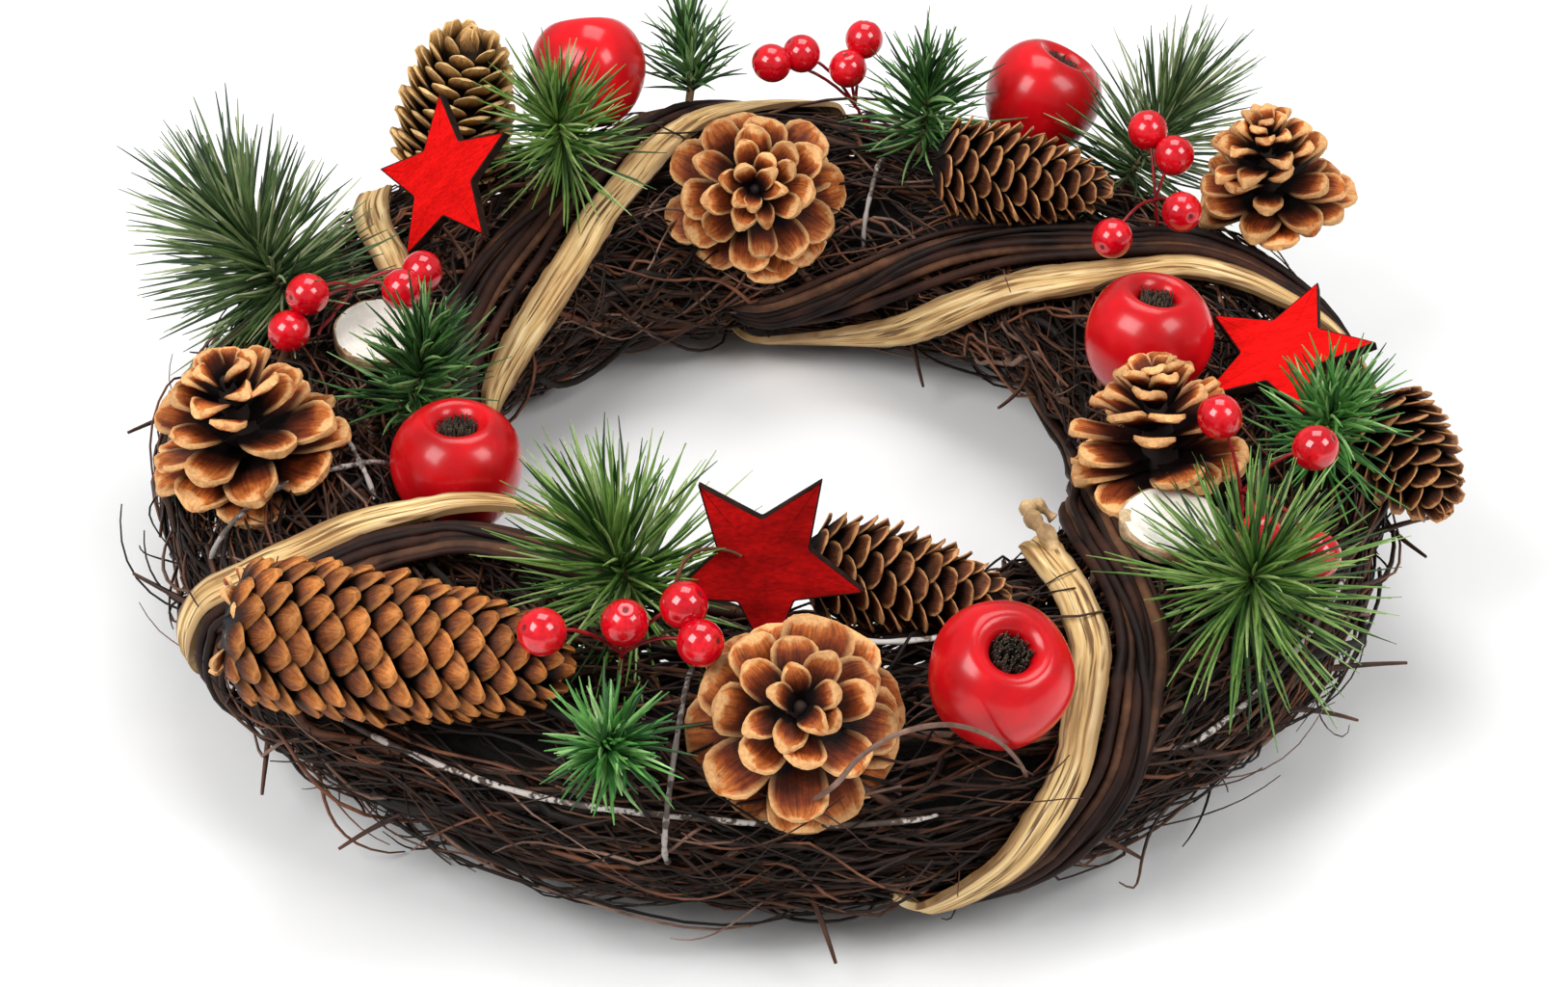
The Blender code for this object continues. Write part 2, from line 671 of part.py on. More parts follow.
# Binding lines, as (bearing, place round the section, lift of the cane in mm) along the cane's middle.
BINDINGS = (
    ((172, 215, 0), (170, 195, 0), (165.7, 172, 0), (150, 162, 0), (132, 145, 0), (121, 127, 0),
     (111.7, 110, 0), (103.8, 89, 0), (97, 70, 0), (90.5, 57, 0), (84, 45, 0), (81, 20, 0), (81, -15, 0),
     (83, -55, 0), (86, -98, 0), (88, -126, 0)),
    ((97, 226, 0), (88, 218, 0), (79, 208, 0), (69, 195, 0), (58.3, 178, 0), (44.8, 152, 0), (34.3, 130, 0),
     (27, 109, 0.4), (23.6, 89, 0.8), (19.2, 71, 1.2), (15.7, 58, 1.2), (12.4, 36.5, 1.2), (8, 19.5, 1),
     (4, 0, 0.5), (-2, -35, 0), (-8, -70, 0), (-14, -100, 0), (-20, -130, 0)),
    ((400, 238, 0), (385, 235, 0), (365, 221, 0), (348, 203, 0), (333, 178, 0), (321.6, 154, 1),
     (312.5, 125, 1), (308, 100, 0), (304, 75, 0), (301, 62, 0), (298, 46, 0), (296, 34, 0), (292.5, 18, 0),
     (289, 0.6, 0), (285, -14, 0), (281, -30, 0), (277, -65, 0), (273, -100, 0), (268, -130, 0)),
    ((265, 222, 0), (262, 200, 0), (257, 176, 0), (250, 163, 4), (242, 151, 9), (233, 141, 12),
     (225.5, 130, 12), (220, 118, 9), (216.8, 105, 5), (214.3, 88, 2), (212.9, 67, 0.5), (211, 48, 0),
     (208.6, 30, 0), (208, 12, 0), (207.5, -10, 0), (206, -50, 0), (203, -95, 0), (199, -130, 0)),
)
CANE_SPANS = ((1, 10.4), (0, 13), (5, 15), (2.6, 14.4))
SHORT_CANE = (
    (137, 46, 5), (140, 53, 3), (143, 60, 1), (147, 74, 0), (151, 89, 0), (155, 102, 0), (158, 113, 0),
)

# Hoops, as (name, line of bearing and place round the section, sections).
HOOPS = (
    ("hoop_outer_1", ((219, 25), (229, 25.5), (240, 26), (251, 26), (262, 27.5), (274, 25), (284, 23)), 13),
    ("hoop_outer_2", ((307, 17), (314, 20), (320, 22.7), (328, 26), (336, 27)), 6),
    ("hoop_inner", ((268, 124), (276, 119), (282, 106), (291, 100), (297, 97), (302, 95)), 8),
)

# Loose loops of vine that stand off a bundle, as (bearing, place round the section, lift in mm).
LOOPS = (
    ((204, 30, -2), (205, 44, 4), (204, 60, 5), (202, 76, 3), (201.5, 98, 3), (201, 112, 3),
     (199.5, 124, -2)),
    ((184, 95, -2), (188, 97, 2.6), (195, 103, 3), (202, 105, 2.6), (206, 107, -2)),
    ((260.8, 96, -2), (261.2, 80, 3.4), (261.3, 60, 3.6), (261.4, 40, 5), (261.4, 26, 5.4), (261.4, 14, 4.6),
     (261.4, 0, -2)),
    ((74, 94, -2), (74.3, 106, 3.2), (74, 122, 3.6), (73.7, 138, 3.4), (73.6, 150, -2)),
)

# Stray tips, as (bearing, place round the section) of the root and of the tip, and the tip's reach in mm.
STRAYS = (
    (205, 2, 199.5, 8, 12), (218, -14, 223, -22, 14), (238, -15, 232, -25, 14), (272.6, -20, 275, -30, 16),
    (296, -10, 302, -24, 9), (325, 0, 333, -5, 17), (319, 0, 327, -15, 14), (344, 15, 350, 5, 17),
    (353, -5, 346.7, -3, 13), (36, 180, 19, 178, 20), (66, 192, 58, 214, 14), (171, 8, 177.5, 4, 14),
)


# Long cones, as (length, radius, rows of scales, place of the stem end, axis, way it is pressed on, turn).
LONG_CONES = (
    (84, 17.5, 11, (-128, -119, 65), (0.985, -0.16, -0.02), (0.3, 0.45, -0.84), 0),
    (52, 12.3, 8, (8, -94, 68), (0.965, -0.25, -0.04), (-0.1, 0.1, -1), 10),
    (52, 13.3, 8, (49, 92.5, 68), (0.95, -0.3, 0.0), (0.2, 0.2, -0.96), 5),
    (38, 13.5, 6, (156, -17, 59), (0.45, -0.82, -0.3), (-0.75, 0.1, -0.62), 12),
    (50, 16.2, 8, (-99, 110, 52), (0.22, 0.0, 0.97), (0.1, -0.3, -0.95), 0),
)

# Open cones, as (size, place of the stem end, axis, way it is pressed on, turn).
OPEN_CONES = (
    (1.05, (-138.5, -36, 55), (-0.12, -0.08, 1), (0.1, 0.1, -1), 0),
    (1.0, (-6, 106, 52), (0.02, -0.8, 0.6), (0, 0.8, -0.6), 20),
    (1.0, (5, -141, 54), (0.05, -0.62, 0.78), (0, 0.62, -0.78), 11),
    (0.85, (143, 79, 50), (-0.2, -0.15, 0.95), (-0.2, -0.1, -0.97), 35),
    (0.95, (102, -43, 58), (-0.12, 0.26, 0.95), (0.1, 0.1, -0.98), 50),
)

# Slices of wood, as (place of the middle, way the face looks, way it is pressed on).
SLICES = (
    ((-109.5, 17, 62), (0.05, -0.2, 0.97), (0, 0, -1)),
    ((101.5, -72.5, 63), (0.06, -0.12, 0.98), (0, 0, -1)),
)

# Apples, as (place of the middle, axis through the calyx, way it is pressed on).
APPLES = (
    ((-57, 143, 71), (-0.1, 0.6, 0.8), (0.1, -0.3, -0.95)),
    ((81, 136, 72), (0.45, 0.15, 0.88), (-0.1, -0.2, -0.97)),
    ((101.5, 1, 70), (0.12, 0.02, 1), (0.2, 0, -0.98)),
    ((-83.3, -42, 60), (0.05, 0.02, 1), (0, 0, -1)),
    ((53.5, -139, 66), (0.15, -0.4, 0.9), (0, 0.4, -0.9)),
)

# Nests in the brushwood, as (middle, radius): one fruit lies deeper than the bundle's top.
NESTS = (((-83.3, -42, 60), 19.6),)
NEST_FINENESS = 2

# Stars, as (radius, place of the middle, way the face looks, way it is pressed on, turn).
STARS = (
    (25.3, (-94, 70.6, 78), (-0.59, -0.56, 0.58), (0.1, 0.15, -0.98), -26),
    (25.5, (-2, -112.5, 81), (-0.06, -0.94, 0.33), (0, 0.1, -0.99), 29),
    (25.5, (138, -2, 69), (-0.3, -0.19, 0.94), (0, 0, -1), -32),
)

# Berry sprays, as (foot of the stem, fork, middles of the berries).
BERRY_SPRAYS = (
    ((-124, 15, 58), (-115, 22, 76), ((-127, 11, 80), (-132, 5, 72), (-102, 18, 77), (-97, 24, 79))),
    ((-37, -129, 60), (-36, -130, 70), ((-54, -141, 85), (-35, -134, 82), (-21, -131, 85), (-17, -139, 80))),
    ((28, 137, 60), (24, 136, 68), ((-1, 132, 84), (8, 136, 85), (22, 134, 81), (27, 143, 86))),
    ((112, 76, 58), (110, 74, 72), ((108, 87, 87), (115, 78, 84), (116, 60, 76), (96, 54, 71))),
    ((121, -64, 58), (120, -62, 68), ((114, -54, 85), (137, -66, 84), (120, -95, 78), (134, -100, 76))),
)

# Needle sprays, as (foot, axis, length of the stem, of a needle, needles, lean at the foot and at the tip).
NEEDLE_SPRAYS = (
    ((-134, 30, 58), (-0.5, 0.35, 0.75), 34, 36, 20, (78, 18)),
    ((-99, -12, 58), (0.25, -0.1, 0.95), 26, 19, 18, (55, 12)),
    ((-62, 104, 58), (-0.05, -0.35, 0.93), 24, 30, 18, (85, 15)),
    ((-27, 150, 55), (-0.05, 0.35, 0.9), 18, 20, 16, (60, 8)),
    ((44, 123, 60), (0.05, -0.1, 1.0), 22, 24, 17, (80, 12)),
    ((104, 108, 56), (0.5, 0.25, 0.8), 28, 34, 19, (80, 15)),
    ((143, -30, 52), (0.1, -0.35, 0.93), 22, 24, 17, (75, 15)),
    ((116, -95, 56), (0.05, -0.55, 0.83), 26, 40, 21, (85, 15)),
    ((-34, -100, 56), (-0.25, -0.1, 0.95), 26, 38, 19, (85, 15)),
    ((-38.5, -150, 54), (0.0, -0.65, 0.75), 14, 20, 18, (88, 20)),
)


def build():
    clear_scene()
    draw = random.Random(24)
    placed = Placed()
    dressing = Placed()

    cores = []
    for number in range(BUNDLES):
        start = 360 / BUNDLES * number
        cores.append(hollowed(keep(f"core_{number}", bundle_core(start, start + 360 / BUNDLES), None)))
    placed.add(*cores)

    wraps = [vine_wrap(k + 1, keys) for k, keys in enumerate(BINDINGS)]
    placed.add(*wraps)
    canes = [cane_strip(k + 1, keys, *CANE_SPANS[k]) for k, keys in enumerate(BINDINGS)]
    canes.append(cane_strip(5, SHORT_CANE, 0, len(SHORT_CANE) - 1, 8))
    for cane in canes:
        placed.settle(cane, Vector((0, 0, -1)), before=0)
    hoops = []
    for name, keys, steps in HOOPS:
        rod = hoop(name, keys, steps)
        hoops.append(placed.settle(rod, -ring_normal(*keys[len(keys) // 2]), before=0))
    dressing.add(*wraps, *canes, *hoops)

    def set_piece(obj, where, axis, heading, turn=0.0):
        obj.matrix_world = pointing(Vector(where) * MM, axis, turn)
        placed.settle(obj, Vector(heading).normalized())
        dressing.add(obj)
        return obj

    for number, (length, radius, rows, where, axis, heading, turn) in enumerate(LONG_CONES):
        cone = long_cone(number + 1, length * MM, radius * MM, rows)
        set_piece(cone, where, axis, heading, turn)
    for number, (where, axis, heading) in enumerate(SLICES):
        set_piece(wood_slice(number + 1), where, axis, heading)
    for number, (size, where, axis, heading, turn) in enumerate(OPEN_CONES):
        set_piece(open_cone(number + 1, size, draw), where, axis, heading, turn)
    for number, (where, axis, heading) in enumerate(APPLES):
        fruit = set_piece(apple(number + 1), where, axis, heading)
        tuft = apple_calyx(number + 1)
        tuft.matrix_world = fruit.matrix_world.copy()
        placed.add(tuft)
        dressing.add(tuft)
    for number, (radius, where, axis, heading, turn) in enumerate(STARS):
        set_piece(star(number + 1, radius * MM), where, axis, heading, turn)
    for number, (root, fork, berries) in enumerate(BERRY_SPRAYS):
        obj = berry_spray(number + 1, placed, root, fork, berries)
        placed.add(obj)
        dressing.add(obj)

    for core in cores:
        bpy.data.objects.remove(core, do_unlink=True)
    bundles = [twig_bundle(number, draw, dressing) for number in range(BUNDLES)]
    full = Placed()
    full.corners, full.faces = dressing.corners, dressing.faces
    full.add(*bundles)

    for number, (root, aim, stem, needle, count, leans) in enumerate(NEEDLE_SPRAYS):
        full.add(needle_spray(number + 1, full, draw, root, aim, stem, needle, count, leans))


build()
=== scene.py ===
"""The looks of a christmas wreath: brushwood, vines, peeled cane, cones, apples, stars, berries and needles.

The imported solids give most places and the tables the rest. The ring's formulas and the lines of its
bindings are those of the solids, so that each finer piece lies where its solid lies. Metres, +Z up, and
the front is -Y.
"""

import math
import random

import bmesh
import bpy
from mathutils import Matrix, Vector, noise
from mathutils.bvhtree import BVHTree


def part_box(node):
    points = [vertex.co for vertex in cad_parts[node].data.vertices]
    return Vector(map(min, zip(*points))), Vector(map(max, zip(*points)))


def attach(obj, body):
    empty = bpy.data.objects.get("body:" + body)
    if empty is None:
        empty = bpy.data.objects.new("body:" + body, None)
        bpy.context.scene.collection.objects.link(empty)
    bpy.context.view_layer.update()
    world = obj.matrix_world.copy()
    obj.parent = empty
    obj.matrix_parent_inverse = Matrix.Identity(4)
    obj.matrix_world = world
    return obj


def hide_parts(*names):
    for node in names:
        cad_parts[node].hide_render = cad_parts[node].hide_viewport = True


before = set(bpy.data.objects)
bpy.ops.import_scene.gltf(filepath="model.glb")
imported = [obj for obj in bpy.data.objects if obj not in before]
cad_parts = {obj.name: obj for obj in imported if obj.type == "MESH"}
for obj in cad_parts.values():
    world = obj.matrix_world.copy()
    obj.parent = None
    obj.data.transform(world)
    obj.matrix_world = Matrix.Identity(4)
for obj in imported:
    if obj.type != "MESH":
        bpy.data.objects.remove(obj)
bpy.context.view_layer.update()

MM = 0.001
TURN = 2 * math.pi
GOLDEN_TURN = math.pi * (3 - math.sqrt(5))
UP = Vector((0, 0, 1))
SEED = 7

# The ring of brushwood: an upright oval section carried round a circle.
RING_RADIUS = 127 * MM
CORE_HALF_WIDTH = 40 * MM
CORE_HALF_HEIGHT = 27 * MM
RING_HEIGHT = 32.6 * MM
BUNDLES = 8
BINDING_LIFT = 2.0 * MM
CANE_WIDTH = 9.5 * MM
CANE_THICKNESS = 2.4 * MM
CANE_TO_VINES = 12.9 * MM
HOOP_LIFT = 0.9 * MM

# Radii of rods, loops and wires, in mm as strands takes them.
HOOP_RADIUS = 0.78
LOOP_RADIUS = 0.72
WIRE_RADIUS = 0.5

APPLE_RADIUS = 17.7 * MM
OPEN_CONE_RADIUS = 26.5 * MM
STAR_THICKNESS = 2.6 * MM
STAR_WAIST = 0.46
BERRY_RADIUS = 5.8 * MM
SLICE_RADIUS = 12.4 * MM
SLICE_THICKNESS = 4.5 * MM
SLICE_STRETCH = (1.0, 1.1)

# Lines of bearing (degrees round Z from +X), place round the section (0 outer side, 90 top), lift in mm.
BINDINGS = (
    ((172, 215, 0), (170, 195, 0), (165.7, 172, 0), (150, 162, 0), (132, 145, 0), (121, 127, 0),
     (111.7, 110, 0), (103.8, 89, 0), (97, 70, 0), (90.5, 57, 0), (84, 45, 0), (81, 20, 0), (81, -15, 0),
     (83, -55, 0), (86, -98, 0), (88, -126, 0)),
    ((97, 226, 0), (88, 218, 0), (79, 208, 0), (69, 195, 0), (58.3, 178, 0), (44.8, 152, 0), (34.3, 130, 0),
     (27, 109, 0.4), (23.6, 89, 0.8), (19.2, 71, 1.2), (15.7, 58, 1.2), (12.4, 36.5, 1.2), (8, 19.5, 1),
     (4, 0, 0.5), (-2, -35, 0), (-8, -70, 0), (-14, -100, 0), (-20, -130, 0)),
    ((400, 238, 0), (385, 235, 0), (365, 221, 0), (348, 203, 0), (333, 178, 0), (321.6, 154, 1),
     (312.5, 125, 1), (308, 100, 0), (304, 75, 0), (301, 62, 0), (298, 46, 0), (296, 34, 0), (292.5, 18, 0),
     (289, 0.6, 0), (285, -14, 0), (281, -30, 0), (277, -65, 0), (273, -100, 0), (268, -130, 0)),
    ((265, 222, 0), (262, 200, 0), (257, 176, 0), (250, 163, 4), (242, 151, 9), (233, 141, 12),
     (225.5, 130, 12), (220, 118, 9), (216.8, 105, 5), (214.3, 88, 2), (212.9, 67, 0.5), (211, 48, 0),
     (208.6, 30, 0), (208, 12, 0), (207.5, -10, 0), (206, -50, 0), (203, -95, 0), (199, -130, 0)),
)
CANE_SPANS = ((1, 10.4), (0, 13), (5, 15), (2.6, 14.4))
SHORT_CANE = (
    (137, 46, 5), (140, 53, 3), (143, 60, 1), (147, 74, 0), (151, 89, 0), (155, 102, 0), (158, 113, 0),
)
HOOPS = (
    ("hoop_outer_1", ((219, 25), (229, 25.5), (240, 26), (251, 26), (262, 27.5), (274, 25), (284, 23))),
    ("hoop_outer_2", ((307, 17), (314, 20), (320, 22.7), (328, 26), (336, 27))),
    ("hoop_inner", ((268, 124), (276, 119), (282, 106), (291, 100), (297, 97), (302, 95))),
)
LOOPS = (
    ((204, 30, -2), (205, 44, 4), (204, 60, 5), (202, 76, 3), (201.5, 98, 3), (201, 112, 3),
     (199.5, 124, -2)),
    ((184, 95, -2), (188, 97, 2.6), (195, 103, 3), (202, 105, 2.6), (206, 107, -2)),
    ((260.8, 96, -2), (261.2, 80, 3.4), (261.3, 60, 3.6), (261.4, 40, 5), (261.4, 26, 5.4), (261.4, 14, 4.6),
     (261.4, 0, -2)),
    ((74, 94, -2), (74.3, 106, 3.2), (74, 122, 3.6), (73.7, 138, 3.4), (73.6, 150, -2)),
)
STRAYS = (
    (205, 2, 199.5, 8, 12), (218, -14, 223, -22, 14), (238, -15, 232, -25, 14), (272.6, -20, 275, -30, 16),
    (296, -10, 302, -24, 9), (325, 0, 333, -5, 17), (319, 0, 327, -15, 14), (344, 15, 350, 5, 17),
    (353, -5, 346.7, -3, 13), (36, 180, 19, 178, 20), (66, 192, 58, 214, 14), (171, 8, 177.5, 4, 14),
)

# Numbers of some twig finishes.
UMBER, RUSSET, ROSE = 2, 3, 4

# Loose twigs as (points in mm, radius, finish): an arc over the front cone, one over the front star.
LOOSE_TWIGS = (
    (((10, -168, 57), (14.6, -178, 70.5), (20, -180, 80.5), (29.1, -176, 84.1), (40.5, -168, 79.6),
      (51, -162, 70.6), (57.5, -158, 60), (60.5, -150, 48)), 0.72, ROSE),
    (((-26, -112, 70), (-23.2, -116.7, 81), (-21.7, -115, 84.9), (-18.5, -114, 87.9), (-13.9, -113.6, 88.5),
      (-9.8, -113.8, 87.7), (-7.6, -113.6, 86.2)), 0.55, RUSSET),
)
# The twisted end of the front cane, by its points in mm.
KNOT = (
    (73, -80, 57), (70.5, -73, 60.5), (67, -67, 61.5), (65.5, -61, 61), (68.5, -57.5, 59.5), (72.5, -60, 57),
)

# Long cones, as (length in mm, radius in mm, scales, axis, turn, finish).
LONG_CONES = (
    (84, 17.5, 165, (0.985, -0.16, -0.02), 0, "amber"),
    (52, 12.3, 92, (0.965, -0.25, -0.04), 10, "dark"),
    (52, 13.3, 92, (0.95, -0.3, 0.0), 5, "dark"),
    (38, 13.5, 70, (0.45, -0.82, -0.3), 12, "dark"),
    (50, 16.2, 120, (0.22, 0.0, 0.97), 0, "olive"),
)

# Open cones, as (size, axis, scales, width in mm of the lowest and the last, rise in degrees of both).
OPEN_CONES = (
    (1.05, (-0.12, -0.08, 1), 36, (17.0, 6.0), (4, 68)),
    (1.0, (0.02, -0.8, 0.6), 38, (15.5, 5.5), (4, 68)),
    (1.0, (0.05, -0.62, 0.78), 32, (19.0, 6.0), (4, 66)),
    (0.88, (-0.2, -0.15, 0.95), 46, (13.5, 5.5), (12, 74)),
    (0.95, (-0.12, 0.26, 0.95), 38, (15.0, 6.5), (8, 70)),
)

# How high the feet of an open cone's scales climb, in mm.
CONE_CLIMB = (21, 22, 21, 28, 22)

# How many of an open cone's scales make its lowest ring.
SKIRT = 8

SLICE_AXES = ((0.05, -0.2, 0.97), (0.06, -0.12, 0.98))
APPLE_AXES = ((-0.1, 0.6, 0.8), (0.45, 0.15, 0.88), (0.12, 0.02, 1), (0.05, 0.02, 1), (0.15, -0.4, 0.9))

# Stars, as (radius in mm, way the face looks, turn).
STARS = (
    (25.3, (-0.59, -0.56, 0.58), -26),
    (25.5, (-0.06, -0.94, 0.33), 29),
    (25.5, (-0.3, -0.19, 0.94), -32),
)

# Berry sprays, as (fork, middles of the berries), in mm.
BERRY_SPRAYS = (
    ((-115, 22, 76), ((-127, 11, 80), (-132, 5, 72), (-102, 18, 77), (-97, 24, 79))),
    ((-36, -130, 70), ((-54, -141, 85), (-35, -134, 82), (-21, -131, 85), (-17, -139, 80))),
    ((24, 136, 68), ((-1, 132, 84), (8, 136, 85), (22, 134, 81), (27, 143, 86))),
    ((110, 74, 72), ((108, 87, 87), (115, 78, 84), (116, 60, 76), (96, 54, 71))),
    ((120, -62, 68), ((114, -54, 85), (137, -66, 84), (120, -95, 78), (134, -100, 76))),
)

# Needle sprays, as (axis, stem and needle in mm, needles, lean at the foot and at the tip in degrees,
# thickness in mm, hue).
NEEDLE_SPRAYS = (
    ((-0.5, 0.35, 0.75), 30, 38, 430, (106, 14), 0.5, "grey"),
    ((0.25, -0.1, 0.95), 26, 24, 230, (72, 10), 0.5, "deep"),
    ((-0.05, -0.35, 0.93), 24, 29.5, 220, (100, 10), 0.44, "leaf"),
    ((-0.05, 0.35, 0.9), 18, 21, 130, (66, 6), 0.48, "deep"),
    ((0.05, -0.1, 1.0), 22, 25, 160, (88, 8), 0.52, "deep"),
    ((0.5, 0.25, 0.8), 28, 35, 280, (100, 10), 0.4, "grey"),
    ((0.1, -0.35, 0.93), 22, 25, 190, (88, 10), 0.5, "emerald"),
    ((0.05, -0.55, 0.83), 26, 40, 290, (98, 10), 0.44, "leaf"),
    ((-0.25, -0.1, 0.95), 26, 38, 310, (98, 10), 0.44, "leaf"),
    ((0.0, -0.65, 0.75), 18, 19, 150, (86, 6), 0.56, "emerald"),
)

# Sprays that end in a brown bud, and the one whose needles all stand near its tip.
BUDDED = (0, 5, 7, 8)
TUFT = 9

# The number of the stem's finish in a spray.
STEM_FINISH = 3


def between(values, k):
    """Read a row of tuples at a fractional index by a smooth curve through them."""
    k = min(max(k, 0), len(values) - 1)
    i = min(int(k), len(values) - 2)
    t = k - i
    before, start = values[max(i - 1, 0)], values[i]
    end, after = values[i + 1], values[min(i + 2, len(values) - 1)]
    out = []
    for a, b, c, d in zip(before, start, end, after):
        out.append(b + 0.5 * t * (c - a + t * (2 * a - 5 * b + 4 * c - d + t * (3 * (b - c) + d - a))))
    return out


def smooth_line(keys, fineness):
    """Read a row of tuples all along, at so many steps from each to the next."""
    return [between(keys, k / fineness) for k in range(fineness * (len(keys) - 1) + 1)]


def level_way(angle):
    """The level direction at an angle in radians."""
    return Vector((math.cos(angle), math.sin(angle), 0))


def bearing_unit(bearing):
    return level_way(math.radians(bearing))


def ring_normal(bearing, around):
    a = math.radians(around)
    normal = bearing_unit(bearing) * math.cos(a) / CORE_HALF_WIDTH
    normal.z = math.sin(a) / CORE_HALF_HEIGHT
    return normal.normalized()


def ring_point(bearing, around, lift):
    """The point of the ring's surface at this bearing and place round its section, raised by lift."""
    a = math.radians(around)
    out = RING_RADIUS + CORE_HALF_WIDTH * math.cos(a)
    surface = bearing_unit(bearing) * out + Vector((0, 0, RING_HEIGHT + CORE_HALF_HEIGHT * math.sin(a)))
    return surface + ring_normal(bearing, around) * lift


def shifted(keys, k, sideways):
    """The bearing and place round the section of a line beside the keyed one."""
    bearing, around = between(keys, k)[:2]
    after, before = between(keys, k + 0.05), between(keys, k - 0.05)
    a = math.radians(around)
    out = RING_RADIUS + CORE_HALF_WIDTH * math.cos(a)
    girth = math.hypot(CORE_HALF_WIDTH * math.sin(a), CORE_HALF_HEIGHT * math.cos(a))
    along = math.radians(after[0] - before[0]) * out
    over = math.radians(after[1] - before[1]) * girth
    length = math.hypot(along, over)
    bearing += math.degrees(-sideways * over / length / out)
    around += math.degrees(sideways * along / length / girth)
    return bearing, around


def pointing(where, axis, turn=0.0):
    """The placing that stands a piece at a point with its Z along axis and its Y to the back."""
    axis = Vector(axis).normalized()
    back = (Vector((0, 1, 0)) - axis * axis.y).normalized()
    stand = Matrix((back.cross(axis), back, axis)).transposed().to_4x4()
    return Matrix.Translation(where) @ stand @ Matrix.Rotation(math.radians(turn), 4, "Z")


def corners_of(node):
    """A solid's corners, each once."""
    found = {tuple(round(c, 7) for c in v.co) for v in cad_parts[node].data.vertices}
    return [Vector(c) for c in sorted(found)]


def middle_of(node):
    corners = corners_of(node)
    return sum(corners, Vector()) / len(corners)


def end_of(node, direction):
    """The middle of a solid's corners that lie furthest along a direction."""
    direction = Vector(direction).normalized()
    corners = corners_of(node)
    far = max(c.dot(direction) for c in corners)
    last = [c for c in corners if c.dot(direction) > far - 0.05 * MM]
    return sum(last, Vector()) / len(last)


class Obstacles:
    """The solids that twigs and needles have to keep clear of."""

    def __init__(self, prefixes):
        corners, faces = [], []
        for name, obj in sorted(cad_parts.items()):
            if name.startswith(prefixes):
                first = len(corners)
                corners += [v.co.copy() for v in obj.data.vertices]
                faces += [[first + i for i in p.vertices] for p in obj.data.polygons]
        self.tree = BVHTree.FromPolygons(corners, faces)

    def near(self, point, room):
        """Whether a point lies in a solid or closer to one than room."""
        found, normal, _, distance = self.tree.find_nearest(point, 25 * MM)
        if found is None:
            return False
        return distance < room or ((point - found).dot(normal) < 0 and self.inside(point))

    def inside(self, point):
        """Whether a line straight up from a point leaves more solids than it enters."""
        leaving = 0
        start = point
        while True:
            hit, normal, _, _ = self.tree.ray_cast(start, UP)
            if hit is None:
                return leaving > 0
            leaving += 1 if normal.z > 0 else -1
            start = hit + UP * 0.01 * MM


def show(obj, slot, *nodes):
    """Set a finished piece on the wreath, in place of the solids it stands for."""
    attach(obj, "root")
    if nodes:
        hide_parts(*nodes)
    return obj


def new_object(name, data):
    obj = bpy.data.objects.new(name, data)
    bpy.context.scene.collection.objects.link(obj)
    return obj


def mesh_piece(name, bm, finishes, sharp=None):
    """Make an object of a bmesh, smooth but for edges sharper than the given angle in degrees."""
    mesh = bpy.data.meshes.new(name)
    bm.to_mesh(mesh)
    bm.free()
    for finish in finishes:
        mesh.materials.append(finish)
    mesh.shade_smooth()
    if sharp:
        mesh.set_sharp_from_angle(angle=math.radians(sharp))
    return new_object(name, mesh)


def strands(name, lines, finishes, roundness=1):
    """Round rods as one curve: each line is (points, radii in mm, number of its finish)."""
    curve = bpy.data.curves.new(name, "CURVE")
    curve.dimensions = "3D"
    curve.bevel_depth = MM
    curve.bevel_resolution = roundness
    curve.use_fill_caps = True
    for finish in finishes:
        curve.materials.append(finish)
    for points, radii, finish in lines:
        spline = curve.splines.new("POLY")
        spline.points.add(len(points) - 1)
        for place, point, radius in zip(spline.points, points, radii):
            place.co = (*point, 1)
            place.radius = radius
        spline.material_index = finish
        spline.use_smooth = True
    return new_object(name, curve)


# Shader helpers.

def shader_node(tree, kind, inputs=(), **settings):
    """Add a node, with settings, and values or sockets for its inputs."""
    made = tree.nodes.new(kind)
    for key, value in settings.items():
        setattr(made, key, value)
    for key, value in dict(inputs).items():
        if isinstance(value, bpy.types.NodeSocket):
            tree.links.new(value, made.inputs[key])
        else:
            made.inputs[key].default_value = value
    return made


def ramp(tree, value, stops):
    """Turn a value into a colour by stops of (place, colour)."""
    made = shader_node(tree, "ShaderNodeValToRGB", {"Fac": value})
    elements = made.color_ramp.elements
    elements.remove(elements[1])
    elements[0].position = stops[0][0]
    elements[0].color = (*stops[0][1], 1)
    for place, colour in stops[1:]:
        element = elements.new(place)
        element.color = (*colour, 1)
    return made.outputs["Color"]


def mix(tree, factor, first, second, mode="MIX"):
    """Mix two colours, given as sockets or as red, green and blue."""
    made = tree.nodes.new("ShaderNodeMix")
    made.data_type = "RGBA"
    made.blend_type = mode
    for socket, value in ((made.inputs[0], factor), (made.inputs[6], first), (made.inputs[7], second)):
        if isinstance(value, bpy.types.NodeSocket):
            tree.links.new(value, socket)
        elif isinstance(value, tuple):
            socket.default_value = (*value, 1)
        else:
            socket.default_value = value
    return made.outputs[2]


def maths(tree, operation, first, second=0.0):
    return shader_node(tree, "ShaderNodeMath", {0: first, 1: second}, operation=operation).outputs[0]


def clamped(tree, operation, first, second):
    inputs = {0: first, 1: second}
    return shader_node(tree, "ShaderNodeMath", inputs, operation=operation, use_clamp=True).outputs[0]


def spread(tree, value, low, high, to_low=0.0, to_high=1.0):
    """Stretch a value's range."""
    inputs = {"Value": value, "From Min": low, "From Max": high, "To Min": to_low, "To Max": to_high}
    return shader_node(tree, "ShaderNodeMapRange", inputs).outputs["Result"]


